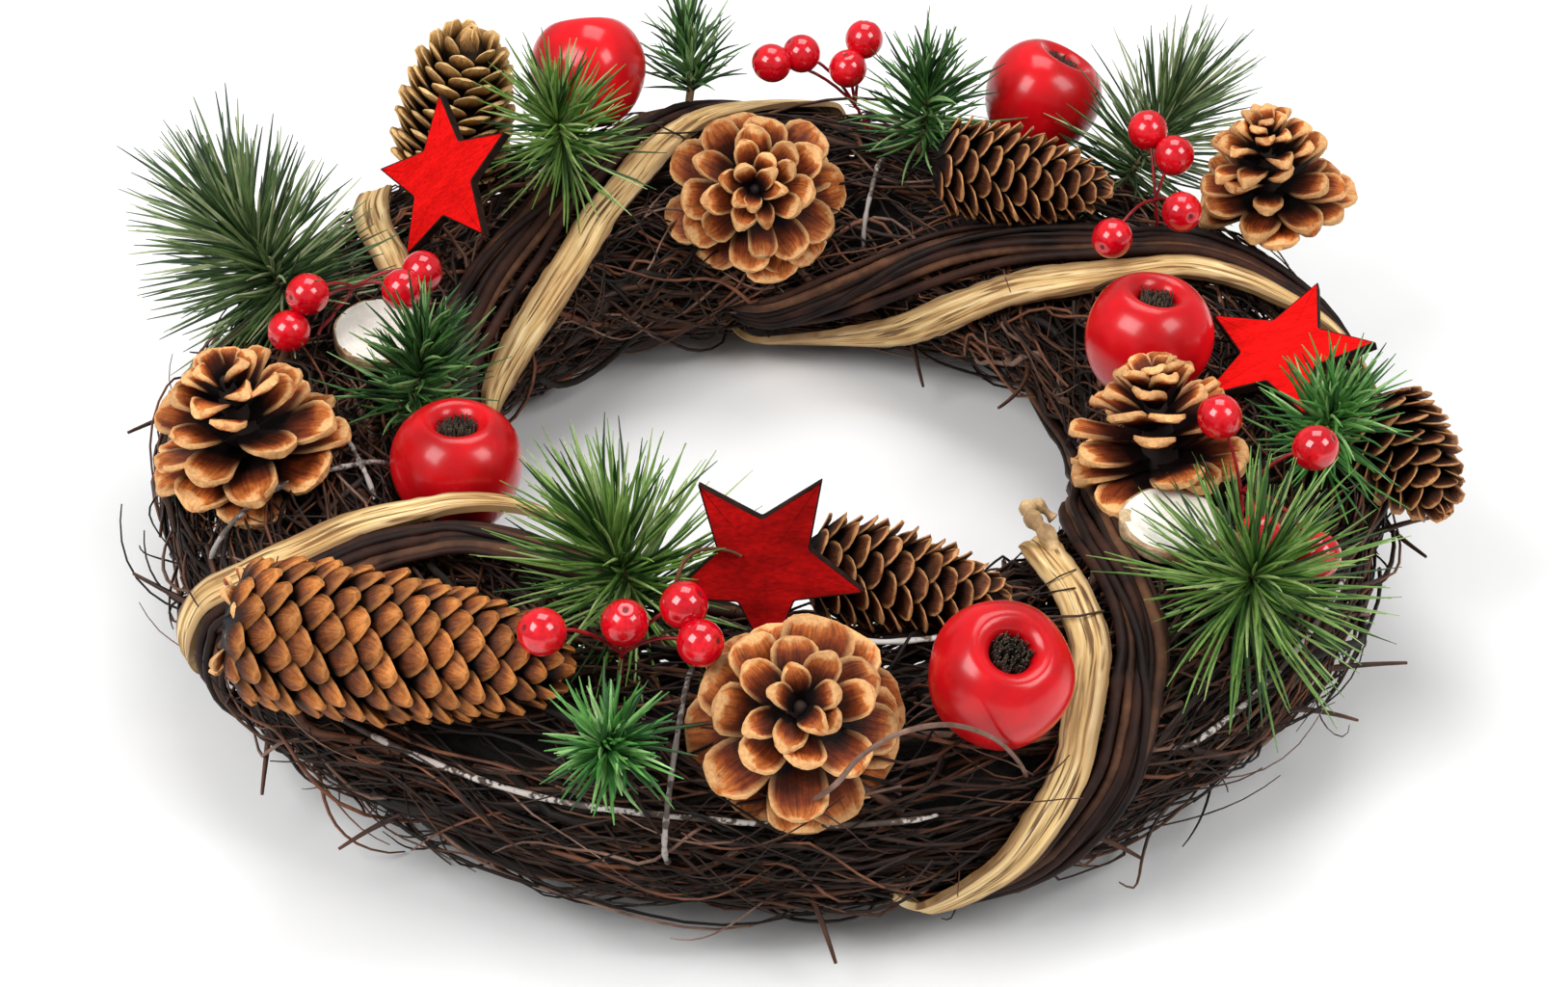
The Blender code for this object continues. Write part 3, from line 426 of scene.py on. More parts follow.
def shaded(tree, colour, value, low, high, darkest, lightest):
    """Darken or lighten a colour while a value goes from low to high."""
    return mix(tree, 1.0, colour, spread(tree, value, low, high, darkest, lightest), "MULTIPLY")


def noise_of(tree, vector, scale, detail):
    inputs = {"Vector": vector, "Scale": scale, "Detail": detail}
    return shader_node(tree, "ShaderNodeTexNoise", inputs).outputs[0]


def stretched(tree, vector, scale, rotation=(0.0, 0.0, 0.0)):
    """Turn and scale the place that a texture is read at."""
    inputs = {"Vector": vector, "Rotation": rotation, "Scale": scale}
    return shader_node(tree, "ShaderNodeMapping", inputs).outputs[0]


def object_place(tree):
    return tree.nodes.new("ShaderNodeTexCoord").outputs["Object"]


def own_place(tree):
    """The piece's own attribute: its way along, its way across, and a number of its own."""
    attribute = shader_node(tree, "ShaderNodeAttribute", attribute_name="place")
    parts = shader_node(tree, "ShaderNodeSeparateXYZ", {0: attribute.outputs["Vector"]})
    return parts.outputs["X"], parts.outputs["Y"], parts.outputs["Z"], attribute.outputs["Vector"]


def start_material(name, roughness, **values):
    """A new material and its shader, with constant values on the shader's own sockets."""
    made = bpy.data.materials.new(name)
    made.use_nodes = True
    shader = made.node_tree.nodes["Principled BSDF"]
    shader.inputs["Roughness"].default_value = roughness
    for key, value in values.items():
        shader.inputs[key.replace("_", " ")].default_value = value
    return made, made.node_tree, shader


def paint(tree, shader, colour, height, strength, distance):
    """Feed a colour to the shader, and a height as a bump."""
    tree.links.new(colour, shader.inputs["Base Color"])
    bump = shader_node(tree, "ShaderNodeBump", {"Strength": strength, "Distance": distance, "Height": height})
    tree.links.new(bump.outputs["Normal"], shader.inputs["Normal"])


def mottle_group():
    """Two sizes of noise: a broad mask, a fine mask and a height made of both."""
    group = bpy.data.node_groups.new("Mottle", "ShaderNodeTree")
    for label, kind in (("Vector", "Vector"), ("Scale", "Float"), ("Contrast", "Float")):
        group.interface.new_socket(label, in_out="INPUT", socket_type="NodeSocket" + kind)
    for label in ("Broad", "Fine", "Height"):
        group.interface.new_socket(label, in_out="OUTPUT", socket_type="NodeSocketFloat")
    start, end = group.nodes.new("NodeGroupInput"), group.nodes.new("NodeGroupOutput")
    vector, scale, contrast = start.outputs["Vector"], start.outputs["Scale"], start.outputs["Contrast"]
    broad = noise_of(group, vector, scale, 3.0)
    fine = noise_of(group, vector, maths(group, "MULTIPLY", scale, 7.3), 4.0)
    centred = maths(group, "SUBTRACT", broad, 0.5)
    sharper = maths(group, "MULTIPLY", centred, contrast)
    mask = clamped(group, "ADD", sharper, 0.5)
    height = maths(group, "ADD", maths(group, "MULTIPLY", broad, 0.6), maths(group, "MULTIPLY", fine, 0.4))
    group.links.new(mask, end.inputs["Broad"])
    group.links.new(fine, end.inputs["Fine"])
    group.links.new(height, end.inputs["Height"])
    return group


MOTTLE = mottle_group()


def mottle(tree, vector, scale, contrast):
    """Place the mottle group and return its broad mask, fine mask and height."""
    made = shader_node(tree, "ShaderNodeGroup", node_tree=MOTTLE)
    tree.links.new(vector, made.inputs["Vector"])
    made.inputs["Scale"].default_value = scale
    made.inputs["Contrast"].default_value = contrast
    return made.outputs["Broad"], made.outputs["Fine"], made.outputs["Height"]


def two_tone(name, dark, light, scale, roughness, bump=0.5, distance=0.2 * MM, contrast=3.0, **values):
    """A finish that wanders between two colours, with fine specks of both."""
    made, tree, shader = start_material(name, roughness, **values)
    broad, fine, height = mottle(tree, object_place(tree), scale, contrast)
    colour = shaded(tree, mix(tree, broad, dark, light), fine, 0.3, 0.7, 0.75, 1.2)
    sheen = spread(tree, height, 0.3, 0.7, roughness - 0.1, min(1.0, roughness + 0.1))
    tree.links.new(sheen, shader.inputs["Roughness"])
    paint(tree, shader, colour, height, bump, distance)
    return made


# The streaks of peeled cane, from the dark ones to the pale.
CANE_STREAKS = (
    (0.3, (0.17, 0.08, 0.028)), (0.4, (0.42, 0.26, 0.1)), (0.5, (0.74, 0.5, 0.21)),
    (0.62, (0.87, 0.67, 0.36)), (0.75, (0.95, 0.83, 0.55)),
)


def cane_finish():
    """Peeled cane: long golden and brown streaks along the strip, dark cracks and dark worn edges."""
    made, tree, shader = start_material("peeled_cane", 0.6, Specular_IOR_Level=0.3)
    _, across, _, place = own_place(tree)
    grain = noise_of(tree, stretched(tree, place, (14.0, 330.0, 1.0)), 2.2, 6.0)
    crack = noise_of(tree, stretched(tree, place, (34.0, 700.0, 1.0)), 1.3, 4.0)
    colour = ramp(tree, grain, CANE_STREAKS)
    dark = ramp(tree, crack, ((0.39, (0.1, 0.04, 0.014)), (0.46, (1.0, 1.0, 1.0))))
    colour = mix(tree, 0.9, colour, dark, "MULTIPLY")
    patches = mottle(tree, object_place(tree), 55.0, 5.0)[0]
    colour = mix(tree, spread(tree, patches, 0.0, 1.0, 0.0, 0.4), colour, (0.45, 0.23, 0.075))
    edge = spread(tree, maths(tree, "ABSOLUTE", across), 0.003, 0.0047)
    colour = mix(tree, maths(tree, "MULTIPLY", edge, 0.8), colour, (0.14, 0.065, 0.022))
    paint(tree, shader, colour, maths(tree, "ADD", grain, crack), 0.9, 0.6 * MM)
    return made


def hoop_finish(name, bark, peeled, share):
    """Rod bark with pale peeled patches; share is how much of the rod is peeled."""
    made, tree, shader = start_material(name, 0.6, Specular_IOR_Level=0.3)
    _, fine, height = mottle(tree, object_place(tree), 95.0, 12.0)
    skin = mix(tree, spread(tree, fine, 0.35, 0.65), bark, tuple(2.2 * c for c in bark))
    worn = spread(tree, height, 0.62 - 0.24 * share, 0.66 - 0.24 * share)
    paint(tree, shader, mix(tree, worn, skin, peeled), height, 0.5, 0.25 * MM)
    return made


def scale_finish(name, root, middle, tip, margin, margin_wear_and_highlight, reach):
    """Cone scales: dark at the root as painted shade where they lie over one another, streaked and warm along
    the blade, pale at the margin and thick end, partly their own paler colour and partly painted highlight.
    """
    made, tree, shader = start_material(name, 0.6, Specular_IOR_Level=0.22)
    along, across, chance, _ = own_place(tree)
    side = maths(tree, "ABSOLUTE", across)
    broad, fine, height = mottle(tree, object_place(tree), 170.0, 3.0)
    wandering = maths(tree, "ADD", along, spread(tree, broad, 0.0, 1.0, -0.08, 0.08))
    halfway = tuple(0.35 * b + 0.65 * a for a, b in zip(root, middle))
    # The dark root colours, up to the first place in reach, are painted shade where the scales lie over one
    # another.
    colour = ramp(tree, wandering, tuple(zip(reach, (root, halfway, middle, tip))))
    shares = enumerate(((along, 1.3), (across, 5.0), (chance, 31.0)))
    inputs = {k: maths(tree, "MULTIPLY", value, share) for k, (value, share) in shares}
    lengthwise = shader_node(tree, "ShaderNodeCombineXYZ", inputs).outputs[0]
    streak = noise_of(tree, lengthwise, 2.4, 4.0)
    colour = shaded(tree, colour, streak, 0.32, 0.66, 0.5, 1.25)
    # The pale rim and end are partly the scales' own paler margin and partly painted highlight.
    rim = maths(tree, "MULTIPLY", spread(tree, side, 0.74, 0.96), spread(tree, along, 0.5, 0.85))
    end = spread(tree, wandering, 0.92, 0.98)
    pale = clamped(tree, "MAXIMUM", rim, end)
    colour = mix(tree, maths(tree, "MULTIPLY", pale, margin_wear_and_highlight), colour, margin)
    colour = shaded(tree, colour, fine, 0.3, 0.7, 0.8, 1.15)
    colour = shaded(tree, colour, chance, 0.0, 1.0, 0.7, 1.15)
    paint(tree, shader, colour, maths(tree, "ADD", height, streak), 0.6, 0.35 * MM)
    return made


def felt_finish(name, dark, light):
    """Red stained board with a short brushed nap."""
    made, tree, shader = start_material(name, 0.85, Specular_IOR_Level=0.08)
    brushed = stretched(tree, object_place(tree), (1.0, 5.0, 1.6), (0.3, 0.5, 0.9))
    broad, fine, _ = mottle(tree, brushed, 70.0, 3.0)
    colour = shaded(tree, mix(tree, broad, dark, light), fine, 0.3, 0.7, 0.7, 1.2)
    paint(tree, shader, colour, fine, 0.6, 0.3 * MM)
    return made


def apple_finish():
    """Waxy deep red skin with soft darker clouds and fine pale specks."""
    made, tree, shader = start_material("apple_red", 0.3, Coat_Weight=0.22, Coat_Roughness=0.15,
                                        Specular_IOR_Level=0.3)
    broad, fine, height = mottle(tree, object_place(tree), 48.0, 3.4)
    colour = mix(tree, broad, (0.36, 0.001, 0.003), (0.72, 0.006, 0.012))
    colour = mix(tree, spread(tree, fine, 0.64, 0.78, 0.0, 0.3), colour, (0.75, 0.04, 0.035))
    tree.links.new(spread(tree, broad, 0.0, 1.0, 0.32, 0.2), shader.inputs["Roughness"])
    paint(tree, shader, colour, height, 0.16, 0.35 * MM)
    return made


def slice_finish():
    """Pale sawn wood with faint rings."""
    made, tree, shader = start_material("slice_wood", 0.6)
    broad, fine, _ = mottle(tree, object_place(tree), 60.0, 2.0)
    side = own_place(tree)[1]
    waved = maths(tree, "ADD", side, spread(tree, broad, 0.0, 1.0, -0.05, 0.05))
    rings = maths(tree, "SINE", maths(tree, "MULTIPLY", waved, 60.0))
    colour = mix(tree, spread(tree, rings, -1.0, 1.0, 0.0, 0.3), (0.8, 0.77, 0.7), (0.74, 0.67, 0.54))
    colour = shaded(tree, colour, fine, 0.3, 0.7, 0.9, 1.06)
    paint(tree, shader, colour, fine, 0.3, 0.2 * MM)
    return made


def needle_finish(name, dark, light):
    """Needles: green that wanders from dark to light, with a waxy gloss."""
    return two_tone(name, dark, light, 60.0, 0.42, 0.15, contrast=4.0, Specular_IOR_Level=0.4)


# Twig bark, as (name, two colours, roughness, shine), and how often each is drawn.
TWIG_BARK = (
    ("black", (0.004, 0.003, 0.002), (0.016, 0.009, 0.006), 0.6, 0.2),
    ("dark", (0.008, 0.004, 0.003), (0.04, 0.018, 0.011), 0.6, 0.25),
    ("umber", (0.026, 0.009, 0.004), (0.1, 0.038, 0.018), 0.55, 0.3),
    ("russet", (0.065, 0.02, 0.009), (0.2, 0.073, 0.033), 0.55, 0.3),
    ("rose", (0.09, 0.042, 0.028), (0.24, 0.14, 0.1), 0.55, 0.3),
)
TWIGS = []
for bark, dark_tone, light_tone, rough, shine in TWIG_BARK:
    TWIGS.append(two_tone(f"twig_{bark}", dark_tone, light_tone, 90.0, rough, Specular_IOR_Level=shine))
TWIG_SHARES = (28, 30, 22, 14, 6)
# The near-black finish of the sheet inside the ring is painted shade, seen between the twigs.
CORE = two_tone("painted_brush_shade", (0.003, 0.002, 0.001), (0.014, 0.007, 0.005), 220.0, 0.9, 1.0, 1.5 * MM)
VINE_BARK = (
    ("vine_dark", (0.008, 0.0026, 0.002), (0.046, 0.016, 0.009)),
    ("vine_brown", (0.026, 0.0095, 0.005), (0.13, 0.056, 0.027)),
    ("vine_black", (0.005, 0.0025, 0.002), (0.023, 0.01, 0.007)),
)
VINES = [two_tone(*bark, 70.0, 0.6, 0.7, Specular_IOR_Level=0.18) for bark in VINE_BARK]
CANE = cane_finish()
HOOP = hoop_finish("hoop_bark", (0.05, 0.035, 0.027), (0.55, 0.5, 0.46), 0.5)
PEELED_HOOP = hoop_finish("peeled_hoop", (0.16, 0.11, 0.08), (0.75, 0.72, 0.68), 0.75)
LOOP_BARK = hoop_finish("loop_bark", (0.07, 0.055, 0.046), (0.34, 0.3, 0.28), 0.5)
KNOT_BARK = two_tone("cane_knot", (0.2, 0.1, 0.035), (0.62, 0.42, 0.2), 110.0, 0.7, 1.0, 0.6 * MM)

# Cone scales, as (colours of the root, the middle, the tip and the margin, how much of the margin colour is
# laid on, places of the colours). The dark root is painted shade; the pale margin is partly the scales' own
# colour and partly painted highlight.
SCALE_TONES = {
    "open_cone_scale": ((0.005, 0.001, 0.0008), (0.22, 0.036, 0.006), (0.56, 0.152, 0.027), (0.85, 0.48, 0.2),
                        0.85, (0.48, 0.64, 0.78, 0.92)),
    "long_cone_amber": ((0.003, 0.001, 0.001), (0.16, 0.037, 0.007), (0.46, 0.145, 0.027), (0.68, 0.29, 0.08),
                        0.5, (0.48, 0.62, 0.74, 0.92)),
    "long_cone_dark": ((0.003, 0.0012, 0.001), (0.1, 0.028, 0.01), (0.28, 0.09, 0.032), (0.67, 0.33, 0.13),
                       0.9, (0.45, 0.62, 0.8, 0.94)),
    "long_cone_olive": ((0.02, 0.01, 0.004), (0.38, 0.18, 0.052), (0.72, 0.41, 0.14), (0.85, 0.57, 0.26),
                        0.6, (0.34, 0.52, 0.7, 0.9)),
}
SCALES = {kind: scale_finish(kind, *tones) for kind, tones in SCALE_TONES.items()}
# The cone's core is real, but its near-black colour is painted shade deep among the scales.
CONE_CORE_SHADE = two_tone("cone_core_painted_shade", (0.006, 0.002, 0.001), (0.025, 0.008, 0.004), 300.0, 0.8)
# Two copies of the star red: the darker one, used for the front star, is painted shade on its steep face.
FELTS = (felt_finish("star_red", (0.62, 0.0025, 0.002), (0.82, 0.005, 0.004)),
         felt_finish("star_red_in_shade", (0.2, 0.001, 0.001), (0.42, 0.003, 0.003)))
BURNT = two_tone("star_edge", (0.004, 0.002, 0.001), (0.03, 0.01, 0.006), 260.0, 0.8, Specular_IOR_Level=0.15)
APPLE = apple_finish()
CALYX = two_tone("calyx_black", (0.01, 0.008, 0.006), (0.12, 0.09, 0.06), 400.0, 0.7)
BERRY = two_tone("berry_red", (0.5, 0.0, 0.008), (0.78, 0.004, 0.014), 120.0, 0.16, 0.04, Coat_Weight=0.5,
                 Coat_Roughness=0.05)
BERRY_TIP = two_tone("berry_tip", (0.1, 0.002, 0.003), (0.22, 0.004, 0.006), 300.0, 0.5)
WIRE = two_tone("berry_wire", (0.12, 0.002, 0.005), (0.36, 0.006, 0.012), 150.0, 0.4)
SLICE = slice_finish()
SLICE_BARK = two_tone("slice_bark", (0.2, 0.1, 0.04), (0.62, 0.45, 0.26), 160.0, 0.75, 1.0, 0.6 * MM)

# Needle greens of each hue, as the two colours of the dark, the middle and the light needles.
GREEN_TONES = {
    "grey": (((0.012, 0.034, 0.01), (0.035, 0.08, 0.022)), ((0.05, 0.105, 0.03), (0.13, 0.21, 0.07)),
             ((0.22, 0.29, 0.12), (0.42, 0.48, 0.26))),
    "deep": (((0.006, 0.026, 0.007), (0.02, 0.07, 0.018)), ((0.026, 0.1, 0.022), (0.075, 0.2, 0.045)),
             ((0.11, 0.24, 0.07), (0.26, 0.42, 0.16))),
    "leaf": (((0.009, 0.038, 0.006), (0.032, 0.1, 0.018)), ((0.095, 0.22, 0.033), (0.2, 0.36, 0.075)),
             ((0.24, 0.39, 0.1), (0.42, 0.55, 0.21))),
    "emerald": (((0.012, 0.06, 0.013), (0.035, 0.14, 0.03)), ((0.05, 0.2, 0.035), (0.12, 0.34, 0.07)),
                ((0.18, 0.4, 0.11), (0.34, 0.58, 0.22))),
}
GREEN_ENDINGS = ("_dark", "", "_light")
GREEN_SHARES = (30, 48, 22)
GREENS = {}
for hue, tones in GREEN_TONES.items():
    GREENS[hue] = [needle_finish(f"needle_{hue}{end}", *pair) for end, pair in zip(GREEN_ENDINGS, tones)]
STEM = two_tone("needle_stem", (0.09, 0.045, 0.02), (0.26, 0.15, 0.07), 200.0, 0.7)


# Brushwood.

def pick_twig(draw):
    return draw.choices(range(len(TWIGS)), TWIG_SHARES)[0]


# How a twig passes under what lies on the ring: the mm of a press, how many are tried, and the room in mm.
PRESS = 2.2
PRESSES = 5
TWIG_ROOM = 0.6

# Where the way from one point of a twig to the next is tested.
TESTED = (0.33, 0.67, 1)

# A twig cut down to fewer points is left out.
FEWEST_POINTS = 4


def laid(keys, radius, dressing, steps):
    """Read a twig's keys along a smooth line, pressed under what lies on the ring, or cut short there."""
    points = []
    for k in range(steps + 1):
        bearing, around, lift = between(keys, k * (len(keys) - 1) / steps)
        for _ in range(PRESSES):
            point = ring_point(bearing, around, lift * MM)
            point.z = max(point.z, radius * MM)
            last = points[-1] if points else point
            way = [last.lerp(point, share) for share in TESTED]
            if not any(dressing.near(place, (radius + TWIG_ROOM) * MM) for place in way):
                break
            lift -= PRESS
        else:
            break
        points.append(point)
    return points


def taper(count, radius, tail=0.45):
    """Radii that thin towards the tip."""
    return [radius * (1 - (1 - tail) * (k / max(1, count - 1)) ** 1.5) for k in range(count)]


def lying_twig(draw, start, end, low, high):
    """Keys of a twig that wanders along the ring between two bearings, as the brush was laid."""
    first = draw.uniform(start - 10, end - 6)
    last = min(end + 11, first + draw.uniform(16, 54))
    if draw.random() < 0.5:
        first, last = last, first
    around = draw.uniform(0, 360)
    climb = draw.gauss(0, 38)
    lift = draw.triangular(low, high, high - 2.5)
    sway, waves, phase = draw.uniform(3, 15), draw.uniform(0.4, 1.5), draw.uniform(0, TURN)
    ripple, beats, beat = draw.uniform(0.4, 3.8), draw.uniform(1.8, 3.4), draw.uniform(0, TURN)
    heave = draw.uniform(0.4, 2.2)
    arch = draw.uniform(2, 6.5) if draw.random() < 0.22 else 0
    keys = []
    for k in range(10):
        t = k / 9
        swing = sway * math.sin(waves * TURN * t + phase) + ripple * math.sin(beats * TURN * t + beat)
        rise = heave * math.sin(9 * t + beat) + arch * math.sin(math.pi * t)
        keys.append((first + (last - first) * t, around + climb * t + swing, lift + rise))
    return keys


def stray_twig(draw, start, end):
    """Keys of a twig that leaves the ring and sweeps along it, and stays out or bends back in."""
    outer = draw.random() < 0.7
    around = draw.uniform(-70, 35) if outer else draw.uniform(135, 225)
    bearing = draw.uniform(start, end)
    sweep = draw.choice((-1, 1)) * draw.uniform(9, 24)
    turn = draw.uniform(-45, 45)
    front = 205 < bearing < 345
    comes_back = draw.random() < 0.35
    reach = draw.triangular(1.5, 7, 3)
    if outer and not comes_back:
        reach = draw.triangular(2, 17, 6) if front else draw.triangular(2, 10, 4)
    wave, phase = draw.uniform(0.3, 2.2), draw.uniform(0, TURN)
    keys = []
    for k in range(9):
        t = k / 8
        away = math.sin(math.pi * t) if comes_back else math.sin(0.5 * math.pi * t) ** 1.5
        keys.append((bearing + sweep * t, around + turn * t * t + 2 * wave * math.sin(6 * t + phase),
                     -5 + (reach + 5) * away + wave * math.sin(8 * t + phase)))
    return keys


# The layers of a bundle, from within: twigs, lowest and highest lift, thinnest and thickest radius, in mm.
LAYERS = (
    (90, -12, -4, 0.7, 1.2),
    (130, -6, 0.5, 0.5, 0.95),
    (205, -3, 2.6, 0.32, 0.72),
)

# Tips that stray from a bundle, its thicker sticks, the steps of a fine twig, and a stray end's radius in mm.
LOOSE_TIPS = 66
STICKS = 13
TWIG_STEPS = 14
STRAY_RADIUS = 0.95


def brushwood(number, draw, dressing):
    """One bundle of brushwood: layers of fine twigs and tips that stray from it."""
    start = 360 / BUNDLES * number
    end = start + 360 / BUNDLES
    lines = []

    def add(keys, radius, steps, tail=0.45):
        points = laid(keys, radius, dressing, steps)
        if len(points) >= FEWEST_POINTS:
            lines.append((points, taper(len(points), radius, tail), pick_twig(draw)))

    for twigs, low, high, thin, thick in LAYERS:
        for _ in range(twigs):
            add(lying_twig(draw, start, end, low, high), draw.uniform(thin, thick), TWIG_STEPS)
    for _ in range(LOOSE_TIPS):
        add(stray_twig(draw, start, end), draw.uniform(0.3, 0.62), TWIG_STEPS, 0.35)
    bundle = strands(f"brushwood_{number + 1}", lines, TWIGS, 0)
    return show(bundle, "dark_twig", f"twig_bundle_{number + 1}")


def thick_twigs(draw, dressing):
    """The thicker sticks of the ring, the loops that lie over it and the ends that stand out of it."""
    lines = []
    for number in range(BUNDLES):
        start = 360 / BUNDLES * number
        for _ in range(STICKS):
            points = laid(lying_twig(draw, start, start + 360 / BUNDLES, -3, 1.2), 1.5, dressing, 16)
            if len(points) >= FEWEST_POINTS:
                lines.append((points, taper(len(points), draw.uniform(1.1, 1.6), 0.7), pick_twig(draw)))
    for bearing, around, to_bearing, to_around, reach in STRAYS:
        keys = []
        for k in range(5):
            t = k / 4
            keys.append((bearing + (to_bearing - bearing) * t, around + (to_around - around) * t,
                         -2.5 + (reach + 2.5) * t ** 1.4))
        points = laid(keys, STRAY_RADIUS, dressing, 12)
        if len(points) >= FEWEST_POINTS:
            lines.append((points, taper(len(points), STRAY_RADIUS), UMBER))
    for keys in LOOPS:
        points = [ring_point(b, a, lift * MM) for b, a, lift in smooth_line(keys, 6)]
        radii = [LOOP_RADIUS + 0.12 * math.sin(1.9 * k) for k in range(len(points))]
        lines.append((points, radii, len(TWIGS)))
    for keys, radius, finish in LOOSE_TWIGS:
        points = [Vector(place) * MM for place in smooth_line(keys, 5)]
        lines.append((points, taper(len(points), radius, 0.7), finish))
    return show(strands("thick_twigs", lines, (*TWIGS, LOOP_BARK), 2), "dark_twig")


def painted_brush_shade():
    """Painted shade: a near-black sheet round the middle of the ring, seen between the twigs in place of the
    shaded brush within.
    """
    bm = bmesh.new()
    corners = []
    sides = 18
    for k in range(sides):
        a = TURN * k / sides
        corners.append(bm.verts.new((RING_RADIUS + 0.62 * CORE_HALF_WIDTH * math.cos(a), 0,
                                     RING_HEIGHT + 0.6 * CORE_HALF_HEIGHT * math.sin(a))))
    edges = [bm.edges.new((corners[k], corners[(k + 1) % sides])) for k in range(sides)]
    bmesh.ops.spin(bm, geom=corners + edges, axis=(0, 0, 1), cent=(0, 0, 0), steps=120, angle=TURN,
                   use_merge=True)
    bmesh.ops.remove_doubles(bm, verts=bm.verts, dist=0.01 * MM)
    bmesh.ops.recalc_face_normals(bm, faces=bm.faces)
    bm.normal_update()
    for vert in bm.verts:
        vert.co += vert.normal * 3.2 * MM * noise.noise(vert.co * 110)
    return show(mesh_piece("painted_brush_shade", bm, [CORE]), "dark_twig")


# Bindings.

# The vines of a turn, as (place across it in mm, radius in mm, finish). The last crosses over the others.
VINE_RODS = (
    (-5.2, 1.6, 0), (-2.7, 1.35, 1), (-0.5, 1.75, 0), (1.9, 1.3, 2), (3.9, 1.6, 1), (5.7, 1.1, 0),
    (0.6, 1.2, 2),
)


def vine_band(number, draw):
    """The vines of one turn, side by side, with one that wanders over the others."""
    keys = BINDINGS[number]
    steps = 72
    lines = []
    for vine, (offset, radius, finish) in enumerate(VINE_RODS):
        over = vine == len(VINE_RODS) - 1
        sway = 3.4 if over else draw.uniform(0.3, 0.8)
        phase, waves, seed = draw.uniform(0, TURN), draw.uniform(1.0, 2.2), draw.uniform(0, 90)
        points, radii = [], []
        for k in range(steps + 1):
            t = k / steps
            at = t * (len(keys) - 1)
            crook = noise.noise(Vector((11 * t, seed, 0)))
            sideways = CANE_TO_VINES + (offset + sway * math.sin(waves * TURN * t + phase) + 0.9 * crook) * MM
            sunk = 8 * max(0.0, 1 - min(t, 1 - t) / 0.07) ** 2
            raised = (2.0 if over else 0.0) + 0.6 * noise.noise(Vector((8 * t, seed + 20, 0)))
            lift = BINDING_LIFT + (0.6 * between(keys, at)[2] + radius + raised - sunk) * MM
            point = ring_point(*shifted(keys, at, sideways), lift)
            point.z = max(point.z, 1.3 * radius * MM)
            points.append(point)
            knot = 1 + 0.25 * max(0.0, math.sin(31 * t + 3 * vine + phase) - 0.93) / 0.07
            radii.append(radius * knot * (1 - 0.12 * t) * (1 + 0.1 * crook))
        lines.append((points, radii, finish))
    band = strands(f"vines_{number + 1}", lines, VINES, roundness=2)
    return show(band, "vine_bark", f"vine_wrap_{number + 1}")


def cane(number, keys, first, last, draw):
    """A peeled strip: a dished band with fibres, frayed edges, and ends that dive in or are cut square."""
    node = f"cane_strip_{number}"
    squared = keys is SHORT_CANE
    bm = bmesh.new()
    long_steps, wide_steps = 150, 12
    bmesh.ops.create_grid(bm, x_segments=long_steps, y_segments=wide_steps, size=1)
    store = bm.verts.layers.float_vector.new("place")
    places = [between(keys, first + (last - first) * k / long_steps) for k in range(long_steps + 1)]
    points = [ring_point(b, a, BINDING_LIFT + lift * MM) for b, a, lift in places]
    drop = max(p.z for p in points) + CANE_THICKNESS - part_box(node)[1].z
    gone = [0.0]
    for before, after in zip(points, points[1:]):
        gone.append(gone[-1] + (after - before).length)
    seed = draw.uniform(0, 50)
    for vert in bm.verts:
        k = round((vert.co.x + 1) / 2 * long_steps)
        v = vert.co.y
        ahead = (points[min(k + 1, long_steps)] - points[max(k - 1, 0)]).normalized()
        normal = ring_normal(*places[k][:2])
        across = ahead.cross(normal).normalized()
        out = across.cross(ahead)
        left = min(k, long_steps - k) / long_steps
        narrow = 1.0 if squared else min(1.0, 0.55 + 5 * left)
        sunk = 0.0 if squared else 6 * MM * max(0.0, 1 - left / 0.05) ** 2
        width = CANE_WIDTH / 2 * narrow * (1 + 0.2 * noise.noise(Vector((gone[k] * 45, seed, 0))))
        fray = 0.5 * MM * v ** 8 * noise.noise(Vector((gone[k] * 260, seed, 2 * v)))
        wander = 0.7 * MM * noise.noise(Vector((gone[k] * 50, seed + 3, 0)))
        crown = CANE_THICKNESS - 0.7 * MM * (1 - v * v) - 0.5 * MM * v ** 8
        fibres = 0.4 * MM * noise.noise(Vector((gone[k] * 35, seed + 9, v * 5)))
        vert.co = points[k] + across * (width * v + wander + fray) + out * (crown + fibres - sunk) - UP * drop
        vert[store] = (gone[k] + seed, width * v, 0)
    bm.normal_update()
    bmesh.ops.solidify(bm, geom=list(bm.faces), thickness=1.7 * MM)
    bmesh.ops.recalc_face_normals(bm, faces=bm.faces)
    return show(mesh_piece(f"cane_{number}", bm, [CANE], 50), "peeled_cane", node)


def cane_knot():
    """The twisted stub at the top of the front cane."""
    points = [Vector(place) * MM for place in smooth_line(KNOT, 6)]
    steps = len(points) - 1
    radii = [2.2 + 0.5 * math.sin(1.1 * k) - 1.1 * (k / steps) ** 3 for k in range(steps + 1)]
    return show(strands("cane_knot", [(points, radii, 0)], [KNOT_BARK], 2), "peeled_cane")


def rod(name, keys):
    """A thin hoop rod over the twigs, with ends that dive in between them."""
    line = smooth_line(keys, 8)
    steps = len(line) - 1
    points, radii = [], []
    for k, place in enumerate(line):
        end = max(0.0, 1 - 12 * min(k, steps - k) / steps)
        points.append(ring_point(*place, HOOP_LIFT - 3.5 * MM * end ** 2))
        radii.append(HOOP_RADIUS + 0.1 * math.sin(1.7 * k) - 0.3 * end)
    finish = PEELED_HOOP if name == "hoop_inner" else HOOP
    return show(strands(name + "_rod", [(points, radii, 0)], [finish], 2), "hoop_bark", name)


# Cones.

